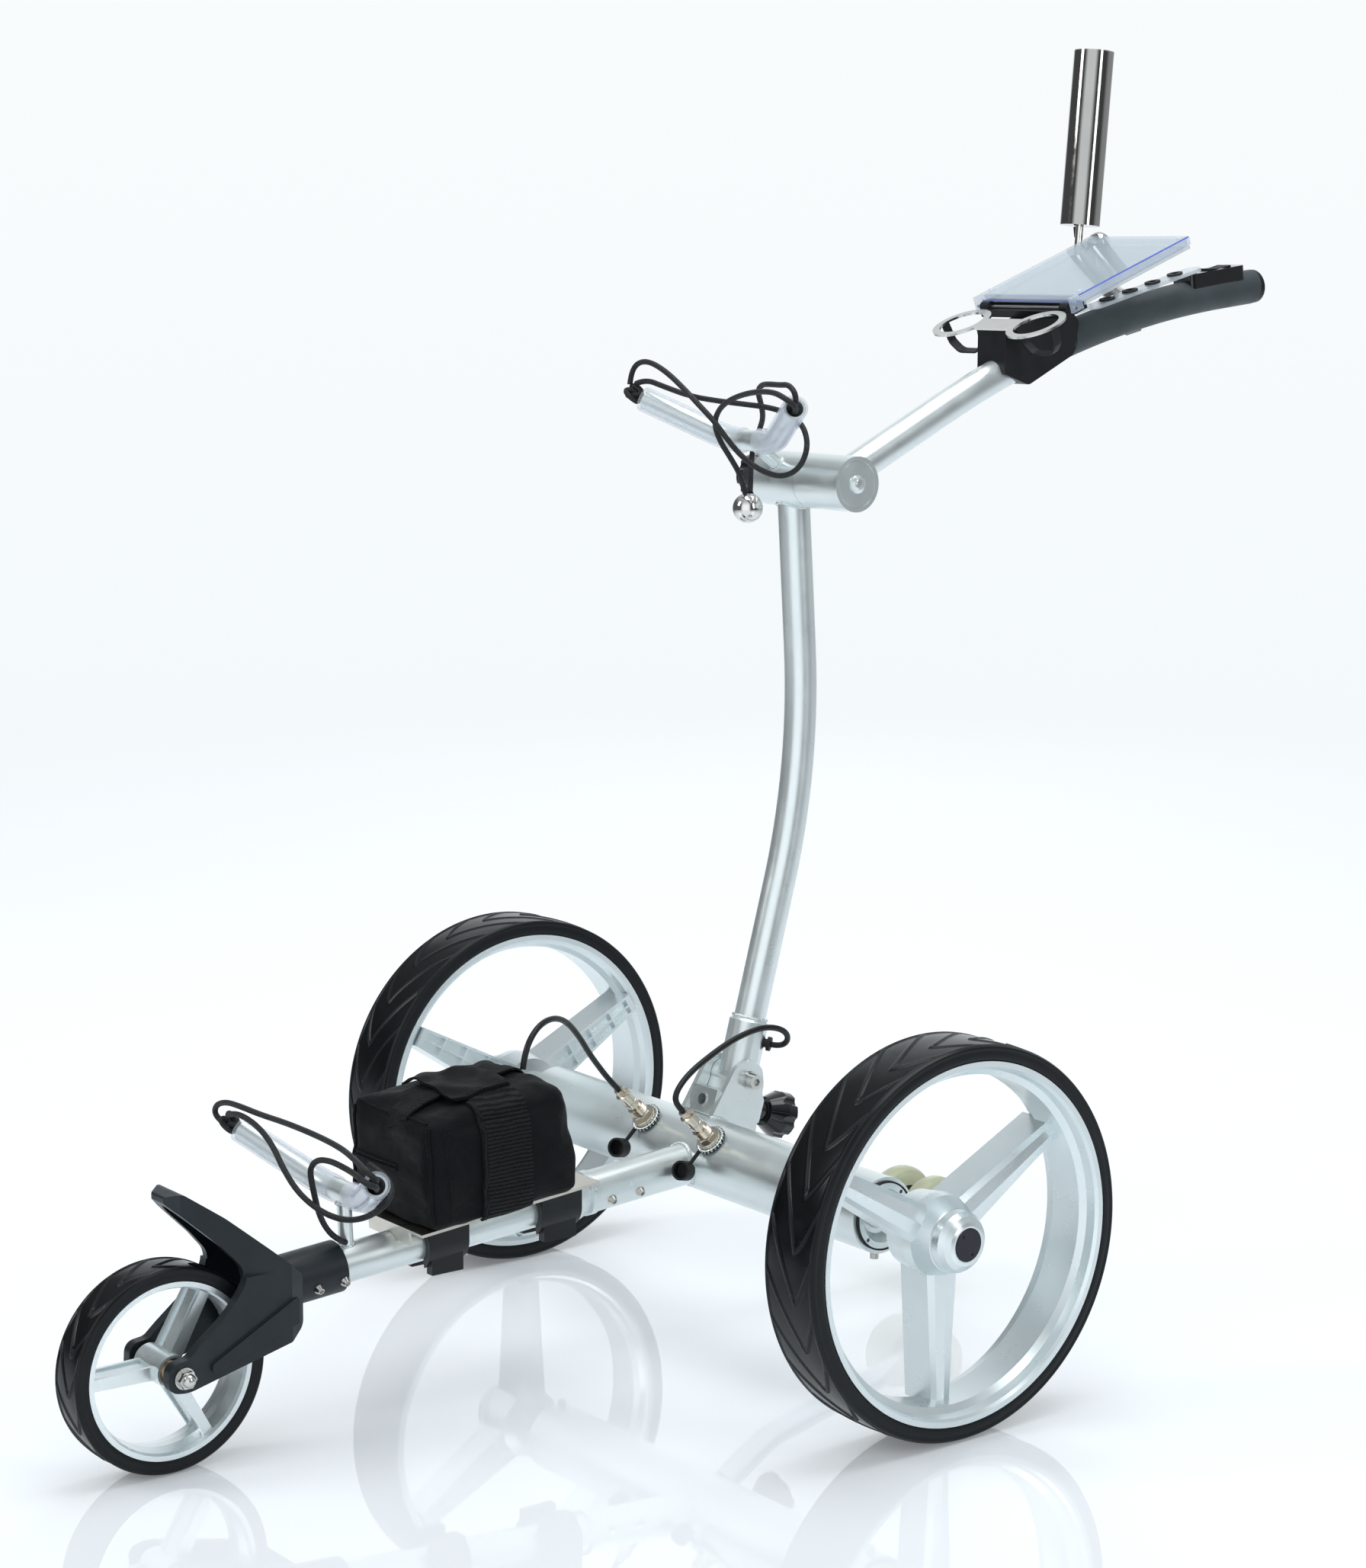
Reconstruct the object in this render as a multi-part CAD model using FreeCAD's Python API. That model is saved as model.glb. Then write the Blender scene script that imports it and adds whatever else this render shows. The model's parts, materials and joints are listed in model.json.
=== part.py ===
"""Three-wheeled electric golf trolley, folding, in millimetres.

X is across the trolley (the main axle), the front wheel is at -Y, the handle at +Y and +Z is up.
The origin is on the floor, straight below the middle of the main axle.
"""
import FreeCAD, Part
import math
import os

V = FreeCAD.Vector
X_AXIS = V(1, 0, 0)

# Main wheels and axle
WHEEL_R = 160.0
WHEEL_FACE_X = 330.0
TYRE_WIDTH = 58.5
RIM_R = 146.0
AXLE_Z = WHEEL_R
AXLE_TUBE_R = 31.5
AXLE_TUBE_BORE = 28.5
AXLE_HALF = 228.0
SHAFT_R = 6.0
RUNNING_GAP = 0.05
HUB_GAP = 0.2

# Front wheel and fork
FRONT_Y = -531.5
FRONT_R = 82.0
FRONT_WIDTH = 35.2
FRONT_AXLE_R = 4.0
ARM_IN = 27.0
ARM_OUT = 36.0

# Frame tubes
TUBE_SLOPE = math.radians(4.0)
FRONT_TUBE_R = 15.75
FRONT_TUBE_Z0 = 157.8
STUB_R = 17.75
STUB_END_Y = -128.0

# Fold hinge at the foot of the upright
POST_X = -23.0
PIVOT_Y = 46.0
PIVOT_Z = 218.0
PIVOT_R = 4.0
CHEEK_T = 5.0
CHEEK_OUT = 22.0
LEAN = math.radians(15.3)
KNOB_TILT = math.atan2(-0.307, 0.952)

# Upright, handle and their hinge
POST_R = 14.0
TOP_Y = 106.5
TOP_Z = 734.0
BARREL_R = 23.5
HANDLE_X = 33.0
HANDLE_RISE = math.radians(26.0)
HANDLE_R = 14.0
GRIP_R = 15.6
STUD_R = 4.0

# Battery bag and tray
BAG_X = 60.0
BAG_FRONT = -320.0
BAG_REAR = -178.0
BAG_REAR_Z = 172.0
BAG_H = 92.0
BAG_WALL = 5.0
BAG_SLOPE = math.radians(4.8)
TRAY_TOP = BAG_REAR_Z - 0.3
TRAY_SHEET = 2.4

# Cords
CABLE_D = 5.2
SHOCK_D = 4.8


def rod(a, b, radius):
    return Part.makeCylinder(radius, (b - a).Length, a, b - a)


def pipe_between(a, b, outer, inner):
    return rod(a, b, outer).cut(rod(a, b, inner))


def rod_x(y, z, x0, x1, radius):
    return rod(V(x0, y, z), V(x1, y, z), radius)


def ring_x(y, z, x0, x1, outer, inner):
    return rod_x(y, z, x0, x1, outer).cut(rod_x(y, z, x0 - 1, x1 + 1, inner))


def block(x0, x1, y0, y1, z0, z1):
    return Part.makeBox(x1 - x0, y1 - y0, z1 - z0, V(x0, y0, z0))


def turned_x(profile, y, z):
    """Solid of revolution about the line along X at (y, z); profile is a list of (x, radius)."""
    points = [V(x, y, z + r) for x, r in profile]
    face = Part.Face(Part.makePolygon(points + points[:1]))
    return face.revolve(V(0, y, z), X_AXIS, 360)


def turned_z(profile, x, y):
    """Solid of revolution about the upright line at (x, y); profile is a list of (radius, z)."""
    points = [V(x + r, y, z) for r, z in profile]
    face = Part.Face(Part.makePolygon(points + points[:1]))
    return face.revolve(V(x, y, 0), V(0, 0, 1), 360)


def one(shapes):
    """All the shapes fused into one solid."""
    first = shapes[0]
    return first.fuse(shapes[1:]).removeSplitter() if len(shapes) > 1 else first


def group(shapes):
    """Separate solids kept side by side in one node."""
    return Part.makeCompound(shapes)


def mirrored(shape):
    return shape.mirror(V(0, 0, 0), X_AXIS)


def both_sides(shape):
    return group([shape, mirrored(shape)])


def spun(shape, y, z, degrees):
    turned = shape.copy()
    turned.rotate(V(0, y, z), X_AXIS, degrees)
    return turned


def turn_at(before, point, after):
    return math.pi - (before - point).getAngle(after - point)


def rounded_edges(points, radii, closed=False):
    """Straight runs joined by tangent arcs; radii gives one radius for each corner."""
    count = len(points)
    corners = range(count) if closed else range(1, count - 1)
    ends = {}
    arcs = {}
    for k in corners:
        before, point, after = points[k - 1], points[k], points[(k + 1) % count]
        turn = turn_at(before, point, after)
        reach = radii[k] * math.tan(turn / 2)
        into = (before - point).normalize()
        out = (after - point).normalize()
        inward = V(into).add(out).normalize()
        middle = point + inward * (radii[k] / math.cos(turn / 2) - radii[k])
        ends[k] = (point + into * reach, point + out * reach)
        arcs[k] = Part.Arc(ends[k][0], middle, ends[k][1]).toShape()
    edges = []
    runs = range(count) if closed else range(count - 1)
    for k in runs:
        following = (k + 1) % count
        start = ends[k][1] if k in ends else points[k]
        stop = ends[following][0] if following in ends else points[following]
        if k in arcs:
            edges.append(arcs[k])
        if (stop - start).Length > 1e-6:
            edges.append(Part.LineSegment(start, stop).toShape())
    return edges


def plate_x(outline, x0, x1, radius):
    """Plate with rounded corners, cut to a (y, z) outline, from x0 to x1. radius may be one or a list."""
    points = [V(x0, y, z) for y, z in outline]
    radii = radius if isinstance(radius, list) else [radius] * len(points)
    wire = Part.Wire(rounded_edges(points, radii, closed=True))
    return Part.Face(wire).extrude(V(x1 - x0, 0, 0))


def bent_tube(points, radius, outer, inner=0.0):
    """Round tube along straight runs and arcs of one bend radius."""
    edges = rounded_edges(points, [radius] * len(points))
    spine = Part.Wire(Part.__sortEdges__(edges))

    def skin(r):
        circle = Part.Circle(points[0], points[1] - points[0], r).toShape()
        return spine.makePipeShell([Part.Wire(circle)], True, False)

    tube = Part.Solid(skin(outer)) if skin(outer).ShapeType != "Solid" else skin(outer)
    return tube.cut(skin(inner)) if inner else tube


def cord(name, points, diameter):
    """Plain tube of a free cord: each arc is as large as its two runs allow."""
    radii = [0.0] * len(points)
    for k in range(1, len(points) - 1):
        shorter = min((points[k] - points[k - 1]).Length, (points[k + 1] - points[k]).Length)
        turn = turn_at(points[k - 1], points[k], points[k + 1])
        radii[k] = 0.45 * shorter / math.tan(turn / 2)
    edges = rounded_edges(points, radii)
    spine = Part.Wire(edges)
    circle = Part.Circle(points[0], points[1] - points[0], diameter / 2).toShape()
    tube = spine.makePipeShell([Part.Wire(circle)], True, False)
    section = math.pi * diameter ** 2 / 4
    tightest = min(radii[1:-1]) / diameter
    ratio = tube.Volume / (section * spine.Length)
    turns = [math.degrees(turn_at(*points[k - 1:k + 2])) for k in range(1, len(points) - 1)]
    print(f"{name}: length {spine.Length:.0f}, tightest {tightest:.1f} d, volume ratio {ratio:.4f},"
          f" widest turn {max(turns):.0f}, valid {tube.isValid()}")
    return tube


def tube_z(y):
    """Height of the front tube's centre line at y."""
    return FRONT_TUBE_Z0 + y * math.tan(TUBE_SLOPE)


def tube_point(y, x=0.0):
    return V(x, y, tube_z(y))


# ---------------------------------------------------------------- main wheels

def rear_spoke(angle):
    """Hollow-backed spoke with a ridged front, a centre rib and cross ribs."""
    back, front = 268.0, 304.0
    r0, r1 = 24.0, 137.0
    w0, w1 = 16.0, 9.0
    wall, depth = 2.2, 5.0

    def loop(outline, radius):
        points = [V(x, y, AXLE_Z + radius) for x, y in outline]
        return Part.makePolygon(points + points[:1])

    def section(radius, half):
        return loop([(back, -half), (front - 5, -half), (front - 1.2, -0.7 * half), (front, 0),
                     (front - 1.2, 0.7 * half), (front - 5, half), (back, half)], radius)

    def recess(radius, half):
        corners = [(back - 1, -half), (back + depth, -half), (back + depth, half), (back - 1, half)]
        return loop(corners, radius)

    outer = Part.makeLoft([section(r0, w0), section(r1, w1)], True, True)
    hollow = Part.makeLoft([recess(r0 + 14, w0 - wall - 1.0), recess(r1 - 6, w1 - wall)], True, True)
    ribs = [block(back, front, -1.0, 1.0, AXLE_Z + r0, AXLE_Z + r1)]
    for radius in (58.0, 84.0, 110.0):
        ribs.append(block(back, front, -20, 20, AXLE_Z + radius - 1.0, AXLE_Z + radius + 1.0))
    shell = outer.cut(hollow.cut(one(ribs)))
    return spun(shell, 0, AXLE_Z, angle)


def rear_rim():
    """Rim ring, hub and three spokes, moulded in one piece."""
    outer, inner = WHEEL_FACE_X, WHEEL_FACE_X - TYRE_WIDTH
    ring = turned_x([(inner, 141.5), (inner, RIM_R), (inner + 5, RIM_R), (inner + 8.5, 141.0),
                     (outer - 8.5, 141.0), (outer - 5, RIM_R), (outer, RIM_R), (outer, 141.5),
                     (outer - 2.5, 139.5), (outer - 10, 138.0), (outer - 14, 133.0),
                     (inner + 14, 133.0), (inner + 9, 137.0), (inner + 2, 138.5)], 0, AXLE_Z)
    bore = SHAFT_R + HUB_GAP
    hub = turned_x([(266.0, bore), (266.0, 20.0), (268.0, 31.0), (290.0, 34.0), (299.0, 33.0),
                    (312.4, 25.8), (313.0, 24.9), (314.2, 24.9), (314.8, 25.4), (320.5, 24.6),
                    (325.0, 21.6), (328.2, 17.6), (329.3, 15.0), (329.3, 13.7), (327.6, 13.7),
                    (327.6, bore)], 0, AXLE_Z)
    spokes = [rear_spoke(a) for a in (60.0, 180.0, 300.0)]
    wheel = one([ring, hub] + spokes)
    return wheel.cut(rod_x(0, AXLE_Z, 260, 327.6, bore))


def rear_tyre():
    outer, inner = WHEEL_FACE_X, WHEEL_FACE_X - TYRE_WIDTH
    gap = 0.2
    return turned_x([(inner + 5, RIM_R + gap), (inner, RIM_R + gap), (inner, 152.5), (inner + 1.0, 155.6),
                     (inner + 3.4, 157.8), (inner + 14, 159.5), ((inner + outer) / 2, WHEEL_R),
                     (outer - 14, 159.5), (outer - 3.4, 157.8), (outer - 1.0, 155.6), (outer, 152.5),
                     (outer, RIM_R + gap), (outer - 5, RIM_R + gap), (outer - 8.6, 141 + gap),
                     (inner + 8.6, 141 + gap)], 0, AXLE_Z)


def hub_cap():
    """Plain disc with two small assembly holes."""
    disc = turned_x([(327.7, 0), (327.7, 13.4), (329.2, 13.4), (329.8, 12.6), (329.8, 0)], 0, AXLE_Z)
    holes = [rod_x(y, AXLE_Z + z, 329.0, 331, 1.3) for y, z in ((-5.5, 7.5), (4.0, -8.0))]
    return disc.cut(group(holes))


def rear_shaft():
    shaft = rod_x(0, AXLE_Z, 206, 322, SHAFT_R)
    collar = rod_x(0, AXLE_Z, 257, 265.5, 11.0)
    return one([shaft, collar])


# ---------------------------------------------------------------- axle with motors

def motor():
    """Geared motor in one end of the axle tube, with a clear bore for the wheel shaft."""
    can = rod_x(0, AXLE_Z, 60, 150, 26.5)
    gearbox = rod_x(0, AXLE_Z, 150, 216, 28.0)
    bore = rod_x(0, AXLE_Z, 205.5, 217, SHAFT_R + RUNNING_GAP)
    return one([can, gearbox]).cut(bore)


def motor_end():
    """End bell: a cup with a boss for the shaft and four screw holes."""
    cup = turned_x([(216.5, SHAFT_R + RUNNING_GAP), (216.5, 27.0), (230.0, 27.0), (230.0, 22.0),
                    (222.0, 16.0), (222.0, 12.0), (247.0, 10.0), (247.0, SHAFT_R + RUNNING_GAP)],
                   0, AXLE_Z)
    hole = rod_x(24.3, AXLE_Z, 224, 232, 1.6)
    return cup.cut(group([spun(hole, 0, AXLE_Z, a) for a in (45, 135, 225, 315)]))


def motor_seal():
    return ring_x(0, AXLE_Z, 222, 230.6, 28.4, 27.1)


def axle_tube():
    """Cross tube that holds both motors, with the bores of its two cable sockets."""
    tube = ring_x(0, AXLE_Z, -AXLE_HALF, AXLE_HALF, AXLE_TUBE_R, AXLE_TUBE_BORE)
    bores = [rod(p, p + SOCKET_DIR * 20, 6.0) for p in socket_bases()]
    cut = [rod(V(s * 218, 0, AXLE_Z - 22), V(s * 218, 0, AXLE_Z - 40), 2.2) for s in (-1, 1)]
    return tube.cut(group(bores + cut))


SOCKET_DIR = V(0, -0.7071, 0.7071)
SOCKET_XS = (-58.0, 33.0)


def socket_bases():
    return [V(x, 0, AXLE_Z) + SOCKET_DIR * 22 for x in SOCKET_XS]


def at_radius(x, radius):
    return V(x, 0, AXLE_Z) + SOCKET_DIR * radius


def connector_sockets():
    """Panel sockets on welded bosses, and their dust caps hanging on straps."""
    solids = []
    for x in SOCKET_XS:
        nut = Part.Face(Part.makePolygon(hexagon(at_radius(x, 38.5), SOCKET_DIR, 8.2)))
        solids.append(one([
            pipe_between(at_radius(x, AXLE_TUBE_R + 0.3), at_radius(x, 38.5), 10.5, 5.0),
            nut.extrude(SOCKET_DIR * 4.0).cut(rod(at_radius(x, 30), at_radius(x, 50), 5.0)),
            pipe_between(at_radius(x, 42.5), at_radius(x, 47.0), 6.4, 5.0)]))
    return group(solids)


def hexagon(centre, normal, radius):
    side = normal.cross(X_AXIS)
    if side.Length < 0.1:
        side = normal.cross(V(0, 0, 1))
    side.normalize()
    up = V(normal).normalize().cross(side)
    points = [centre + side * (radius * math.cos(math.radians(60 * k)))
              + up * (radius * math.sin(math.radians(60 * k))) for k in range(6)]
    return points + points[:1]


def dust_caps():
    """Rubber caps that hang below their sockets on short straps."""
    solids = []
    for x, drop in zip(SOCKET_XS, (1.0, 1.0)):
        strap_root = at_radius(x, 34.0)
        ring = pipe_between(at_radius(x, 32.0), at_radius(x, 34.4), 13.6, 10.7)
        tip = V(x - 4, strap_root.y - 24, strap_root.z - 24 * drop)
        start = at_radius(x, 33.2) + V(-4, -9.0, -9.0)
        strap = rod(start, tip, 1.7)
        cap_axis = V(0.35, -0.85, 0.25).normalize()
        cap = rod(tip - cap_axis * 3, tip + cap_axis * 8, 8.4)
        well = rod(tip + cap_axis * 1.0, tip + cap_axis * 9, 6.6)
        solids.append(one([ring, strap, cap]).cut(well))
    return group(solids)


def connector_plugs():
    """Cable plugs screwed on the sockets: coupling nut, body and strain relief."""
    solids = []
    for x in SOCKET_XS:
        solids.append(one([
            pipe_between(at_radius(x, 42.8), at_radius(x, 50.5), 7.4, 6.5),
            rod(at_radius(x, 47.3), at_radius(x, 50.5), 7.4),
            rod(at_radius(x, 50.5), at_radius(x, 66.0), 5.8),
            rod(at_radius(x, 66.0), at_radius(x, 70.0), 6.5),
            rod(at_radius(x, 70.0), at_radius(x, 76.0), 4.4)]))
    return group(solids)


# ---------------------------------------------------------------- front frame

def axle_cut(extra=0.0):
    return rod_x(0, AXLE_Z, -60, 60, AXLE_TUBE_R + extra)


def stub_tube():
    tube = pipe_between(tube_point(-10), tube_point(STUB_END_Y), STUB_R, FRONT_TUBE_R + 0.1)
    return tube.cut(axle_cut())


def front_tube():
    tube = pipe_between(tube_point(-40), tube_point(-418), FRONT_TUBE_R, FRONT_TUBE_R - 2.0)
    return tube.cut(axle_cut(2.0))


def stub_bush():
    start, stop = tube_point(STUB_END_Y), tube_point(STUB_END_Y - 7)
    return pipe_between(start, stop, STUB_R + 1.2, FRONT_TUBE_R + 0.1)


def button_screw(seat, direction, head_r, head_h):
    """Domed socket screw: head on the seat, short shank behind it."""
    d = V(direction).normalize()
    head = Part.makeCone(head_r, head_r * 0.6, head_h, seat, d)
    socket = Part.Face(Part.makePolygon(hexagon(seat + d * (head_h * 0.4), d, head_r * 0.45)))
    return head.cut(socket.extrude(d * head_h))


def frame_screws():
    """Screws of the stub tube and the fork socket, and the motors' set bolts."""
    solids = []
    down = V(1, 0, -0.35).normalize()
    for y, radius in ((-115, STUB_R), (-86, STUB_R), (-402, 21.2), (-378, 21.2)):
        solids.append(button_screw(tube_point(y) + down * (radius + 0.1), down, 4.4, 3.6))
    for s in (-1, 1):
        seat = V(s * 218, 0, AXLE_Z - AXLE_TUBE_R - 0.1)
        solids.append(rod(seat, seat - V(0, 0, 6.5), 3.6))
    return group(solids)


def front_fork():
    """One moulding: socket for the front tube, hollow mudguard horn and two arms."""
    side = [(-422, 100), (-422, 141), (-455, 169), (-489, 197.5), (-520, 219.5), (-531.5, 217),
            (-531.5, 212), (-492, 175), (-471, 151), (-492, 124), (-516, 105), (-527, 95.5),
            (-543.5, 93.5), (-545, 72), (-528, 69), (-436, 91)]
    radii = [9, 5, 60, 60, 6, 2, 2, 60, 16, 60, 30, 9, 9, 9, 30, 12]
    body = plate_x(side, -ARM_OUT, ARM_OUT, radii)
    plan = [V(x, y, 0) for x, y in ((ARM_OUT, -600), (ARM_OUT, -436), (28, -421), (-28, -421),
                                    (-ARM_OUT, -436), (-ARM_OUT, -600))]
    horn_plan = [(38, -440), (33, -470), (26, -500), (18, -522), (9, -532),
                 (-9, -532), (-18, -522), (-26, -500), (-33, -470), (-38, -440), (-38, -380), (38, -380)]

    def horn_region(shrink, z0):
        points = [V(x - math.copysign(shrink, x), y + shrink, z0) for x, y in horn_plan]
        return Part.Face(Part.makePolygon(points + points[:1])).extrude(V(0, 0, 200))

    above_wheel = 150.0
    plan_solid = Part.Face(Part.makePolygon(plan + plan[:1])).extrude(V(0, 0, 400))
    lower = block(-60, 60, -600, -400, 0, above_wheel)
    body = body.common(plan_solid)
    body = one([body.common(lower), body.common(horn_region(0, above_wheel))])
    cavity_side = [(-436, 40), (-436, 141), (-459, 161), (-492, 189), (-526, 211), (-640, 211), (-640, 40)]
    cavity = plate_x(cavity_side, -ARM_IN, ARM_IN, [1, 12, 40, 40, 8, 1, 1])
    cavity = one([cavity.common(lower.copy()), cavity.common(horn_region(5.5, above_wheel))])
    relief = plate_x([(-430, 40), (-430, 100), (-452, 100), (-452, 40)], -ARM_IN, ARM_IN, 3)
    rib = plate_x([(-431, 106), (-431, 128), (-508, 88), (-508, 80)], ARM_OUT, ARM_OUT + 2.6, [2, 2, 3, 3])
    socket = pipe_between(tube_point(-375), tube_point(-424), 21.0, FRONT_TUBE_R + 0.1)
    neck = rod(tube_point(-418.5), tube_point(-432), 21.0)
    fork = one([body.cut(cavity).cut(relief), rib, mirrored(rib), socket, neck])
    bore = rod(tube_point(-370), tube_point(-418.5), FRONT_TUBE_R + 0.1)
    axle = rod_x(FRONT_Y, FRONT_R, -60, 60, FRONT_AXLE_R + 0.1)
    return fork.cut(bore).cut(axle)


def front_rim():
    """Ring, hub and three double-ribbed spokes."""
    half = FRONT_WIDTH / 2
    ring = turned_x([(-half, 70.0), (-half, 66.0), (-half + 3, 64.5), (-4, 62.5), (4, 62.5),
                     (half - 3, 64.5), (half, 66.0), (half, 70.0), (half - 3, 70.0),
                     (half - 6, 67.0), (-half + 6, 67.0), (-half + 3, 70.0)], FRONT_Y, FRONT_R)
    hub = ring_x(FRONT_Y, FRONT_R, -19, 19, 13.2, 11.05)
    web = ring_x(FRONT_Y, FRONT_R, -6, 6, 12, 5.0)
    spoke = [block(-5.5, 5.5, FRONT_Y - 3.0, FRONT_Y + 3.0, FRONT_R + 12.5, FRONT_R + 64)]
    for s in (-1, 1):
        fin = plate_x([(FRONT_Y - 5.5, FRONT_R + 12.0), (FRONT_Y + 5.5, FRONT_R + 12.0),
                       (FRONT_Y + 4.2, FRONT_R + 64.5), (FRONT_Y - 4.2, FRONT_R + 64.5)], 0, 3.0, 0.5)
        fin.translate(V(10.0 if s > 0 else -13.0, 0, 0))
        spoke.append(fin)
    spoke.append(block(-12, 12, FRONT_Y - 1.6, FRONT_Y + 1.6, FRONT_R + 12.5, FRONT_R + 64))
    spokes = [spun(one(spoke), FRONT_Y, FRONT_R, a) for a in (-30, 90, 210)]
    return one([ring, hub, web] + spokes)


def front_tyre():
    half = FRONT_WIDTH / 2
    return turned_x([(-half + 3, 70.2), (-half, 70.2), (-half, 74.5), (-half + 1.2, 77.6),
                     (-half + 4.5, 80.0), (-6, 81.7), (0, FRONT_R), (6, 81.7), (half - 4.5, 80.0),
                     (half - 1.2, 77.6), (half, 74.5), (half, 70.2), (half - 3, 70.2),
                     (half - 6.1, 67.2), (-half + 6.1, 67.2)], FRONT_Y, FRONT_R)


def front_bearings():
    bearing = ring_x(FRONT_Y, FRONT_R, 12.0, 19.0, 11.0, FRONT_AXLE_R + RUNNING_GAP)
    washer = ring_x(FRONT_Y, FRONT_R, 19.0, 22.0, 9.0, FRONT_AXLE_R + RUNNING_GAP)
    return both_sides(one([bearing, washer]))


def front_axle():
    """Axle bolt with spacers inside the arms and washers, nuts and domed caps outside."""
    solids = [rod_x(FRONT_Y, FRONT_R, -43, 43, FRONT_AXLE_R)]
    for s in (-1, 1):
        inner = ring_x(FRONT_Y, FRONT_R, 22.4, 26.8, 6.5, FRONT_AXLE_R + 0.02)
        washer = ring_x(FRONT_Y, FRONT_R, 36.2, 37.8, 8.5, FRONT_AXLE_R + 0.02)
        nut = Part.Face(Part.makePolygon(hexagon(V(37.9, FRONT_Y, FRONT_R), X_AXIS, 7.4)))
        nut = nut.extrude(V(5.6, 0, 0)).cut(rod_x(FRONT_Y, FRONT_R, 37, 43.02, FRONT_AXLE_R + 0.02))
        dome = Part.makeSphere(5.6, V(43.5, FRONT_Y, FRONT_R)).common(block(43.5, 52, -560, -500, 60, 110))
        solid = group([inner, washer, one([nut, dome])])
        solids += (solid if s > 0 else mirrored(solid)).Solids
    return group(solids)


CRADLE_BEND = 55.0


def cradle_points(centre_y, centre_z, rise_y, rise_z, x0):
    half = 101.0
    flat = 30.0
    return [V(x0 - half, centre_y + rise_y, centre_z + rise_z), V(x0 - flat, centre_y, centre_z),
            V(x0 + flat, centre_y, centre_z), V(x0 + half, centre_y + rise_y, centre_z + rise_z)]


def cradle(points, strut_foot, strut_top, clear_of):
    """Bent hollow tube on a short strut."""
    tube = bent_tube(points, CRADLE_BEND, 9.0, 7.2)
    strut = rod(strut_foot, strut_top, 6.0)
    collar = Part.makeCone(8.5, 6.2, 5.0, strut_foot, strut_top - strut_foot)
    solid_line = bent_tube(points, CRADLE_BEND, 8.0)
    return one([tube, one([strut, collar]).cut(clear_of).cut(solid_line)])


def sleeves(points):
    """Clear soft sleeves over both arms of a cradle."""
    middle = (points[1] + points[2]) * 0.5
    solids = []
    for end, bend in ((points[0], points[1]), (points[3], points[2])):
        out = (end - bend).normalize()
        inner_start = middle + (bend - middle).normalize() * 11.0
        solids.append(bent_tube([end + out * 2.0, bend, inner_start], CRADLE_BEND, 10.9, 9.1))
    return solids


LOWER = cradle_points(-366.5, 190.5, -33.0, 34.0, 0.0)
UPPER = cradle_points(61.0, 768.0, -36.4, 31.7, POST_X)


def lower_cradle():
    foot = tube_point(-364.5) + V(0, 0, 10)
    tube = rod(tube_point(-300), tube_point(-430), FRONT_TUBE_R + 0.05)
    steel = cradle(LOWER, foot, V(0, -366.5, 190.5), tube)
    return group([steel] + sleeves(LOWER))


def upper_cradle():
    foot = V(POST_X, TOP_Y - 14, TOP_Z + 11)
    steel = cradle(UPPER, foot, V(POST_X, 61.0, 768.0), rod_x(TOP_Y, TOP_Z, -60, 20, BARREL_R + 0.05))
    return group([steel] + sleeves(UPPER))


def tray_clamps():
    """Two saddles on the front tube that carry the battery tray."""
    solids = []
    for y0, y1 in ((-300, -262), (-190, -150)):
        jaw = rod(tube_point(y0), tube_point(y1), 22.0)
        low_edge = tube_z(y0) - 24
        saddle = one([jaw, block(-22, 22, y0, y1, tube_z((y0 + y1) / 2), 190)])
        saddle = one([saddle, block(-19, 19, y0 + 4, y1 - 4, low_edge, low_edge + 20)])
        under_tray = on_slope(block(-60, 60, y0 - 40, y1 + 40, 60, TRAY_TOP - TRAY_SHEET))
        saddle = saddle.common(under_tray)
        mouth = block(-11, 11, y0 - 1, y1 + 1, tube_z(y0) - 40, tube_z(y1) - 4)
        solids.append(saddle.cut(rod(tube_point(-100), tube_point(-360), FRONT_TUBE_R + 0.1)).cut(mouth))
    return group(solids)


def on_slope(shape):
    """Tips a shape drawn level behind the bag's rear foot line on to the tray's slope."""
    placed = shape.copy()
    placed.rotate(V(0, BAG_REAR, BAG_REAR_Z), X_AXIS, math.degrees(BAG_SLOPE))
    return placed


def battery_tray():
    """Folded sheet: flat bed and a front lip turned down to the tube."""
    front, rear = BAG_FRONT - 6, BAG_REAR + 26
    bed = block(-50, 50, front, rear, TRAY_TOP - TRAY_SHEET, TRAY_TOP)
    lip = block(-30, 30, front, front + TRAY_SHEET, TRAY_TOP - 13, TRAY_TOP)
    tray = on_slope(one([bed, lip]))
    return tray.cut(rod(tube_point(-100), tube_point(-420), FRONT_TUBE_R + 0.3))


def bag_block(shrink, z0, z1, radius):
    body = block(-BAG_X + shrink, BAG_X - shrink, BAG_FRONT + shrink, BAG_REAR - shrink,
                 BAG_REAR_Z + z0, BAG_REAR_Z + z1)
    upright = [e for e in body.Edges if abs(e.tangentAt(e.FirstParameter).z) > 0.9]
    return body.makeFillet(radius, upright)


def battery_bag():
    outer = bag_block(0, 0, BAG_H - 12, 16.0)
    inner = bag_block(BAG_WALL, BAG_WALL, BAG_H, 11.0)
    return on_slope(outer.cut(inner))


def bag_lid():
    lid = bag_block(0, BAG_H - 12, BAG_H, 16.0)
    top = [e for e in lid.Edges if e.BoundBox.ZMin > BAG_REAR_Z + BAG_H - 0.5]
    return on_slope(lid.makeFillet(7.0, top))


def battery_pack():
    return on_slope(bag_block(BAG_WALL + 4, BAG_WALL + 0.4, BAG_H - 14, 6.0))


def controller():
    """Motor controller board inside the axle tube, between the motors."""
    return block(-46, 46, -16, 16, AXLE_Z - 3, AXLE_Z + 9)


def drive_units():
    """Both motors with their end bells and seals, and the controller between them."""
    pairs = [both_sides(make()).Solids for make in (motor, motor_end, motor_seal)]
    return group([solid for pair in pairs for solid in pair] + [controller()])


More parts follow.
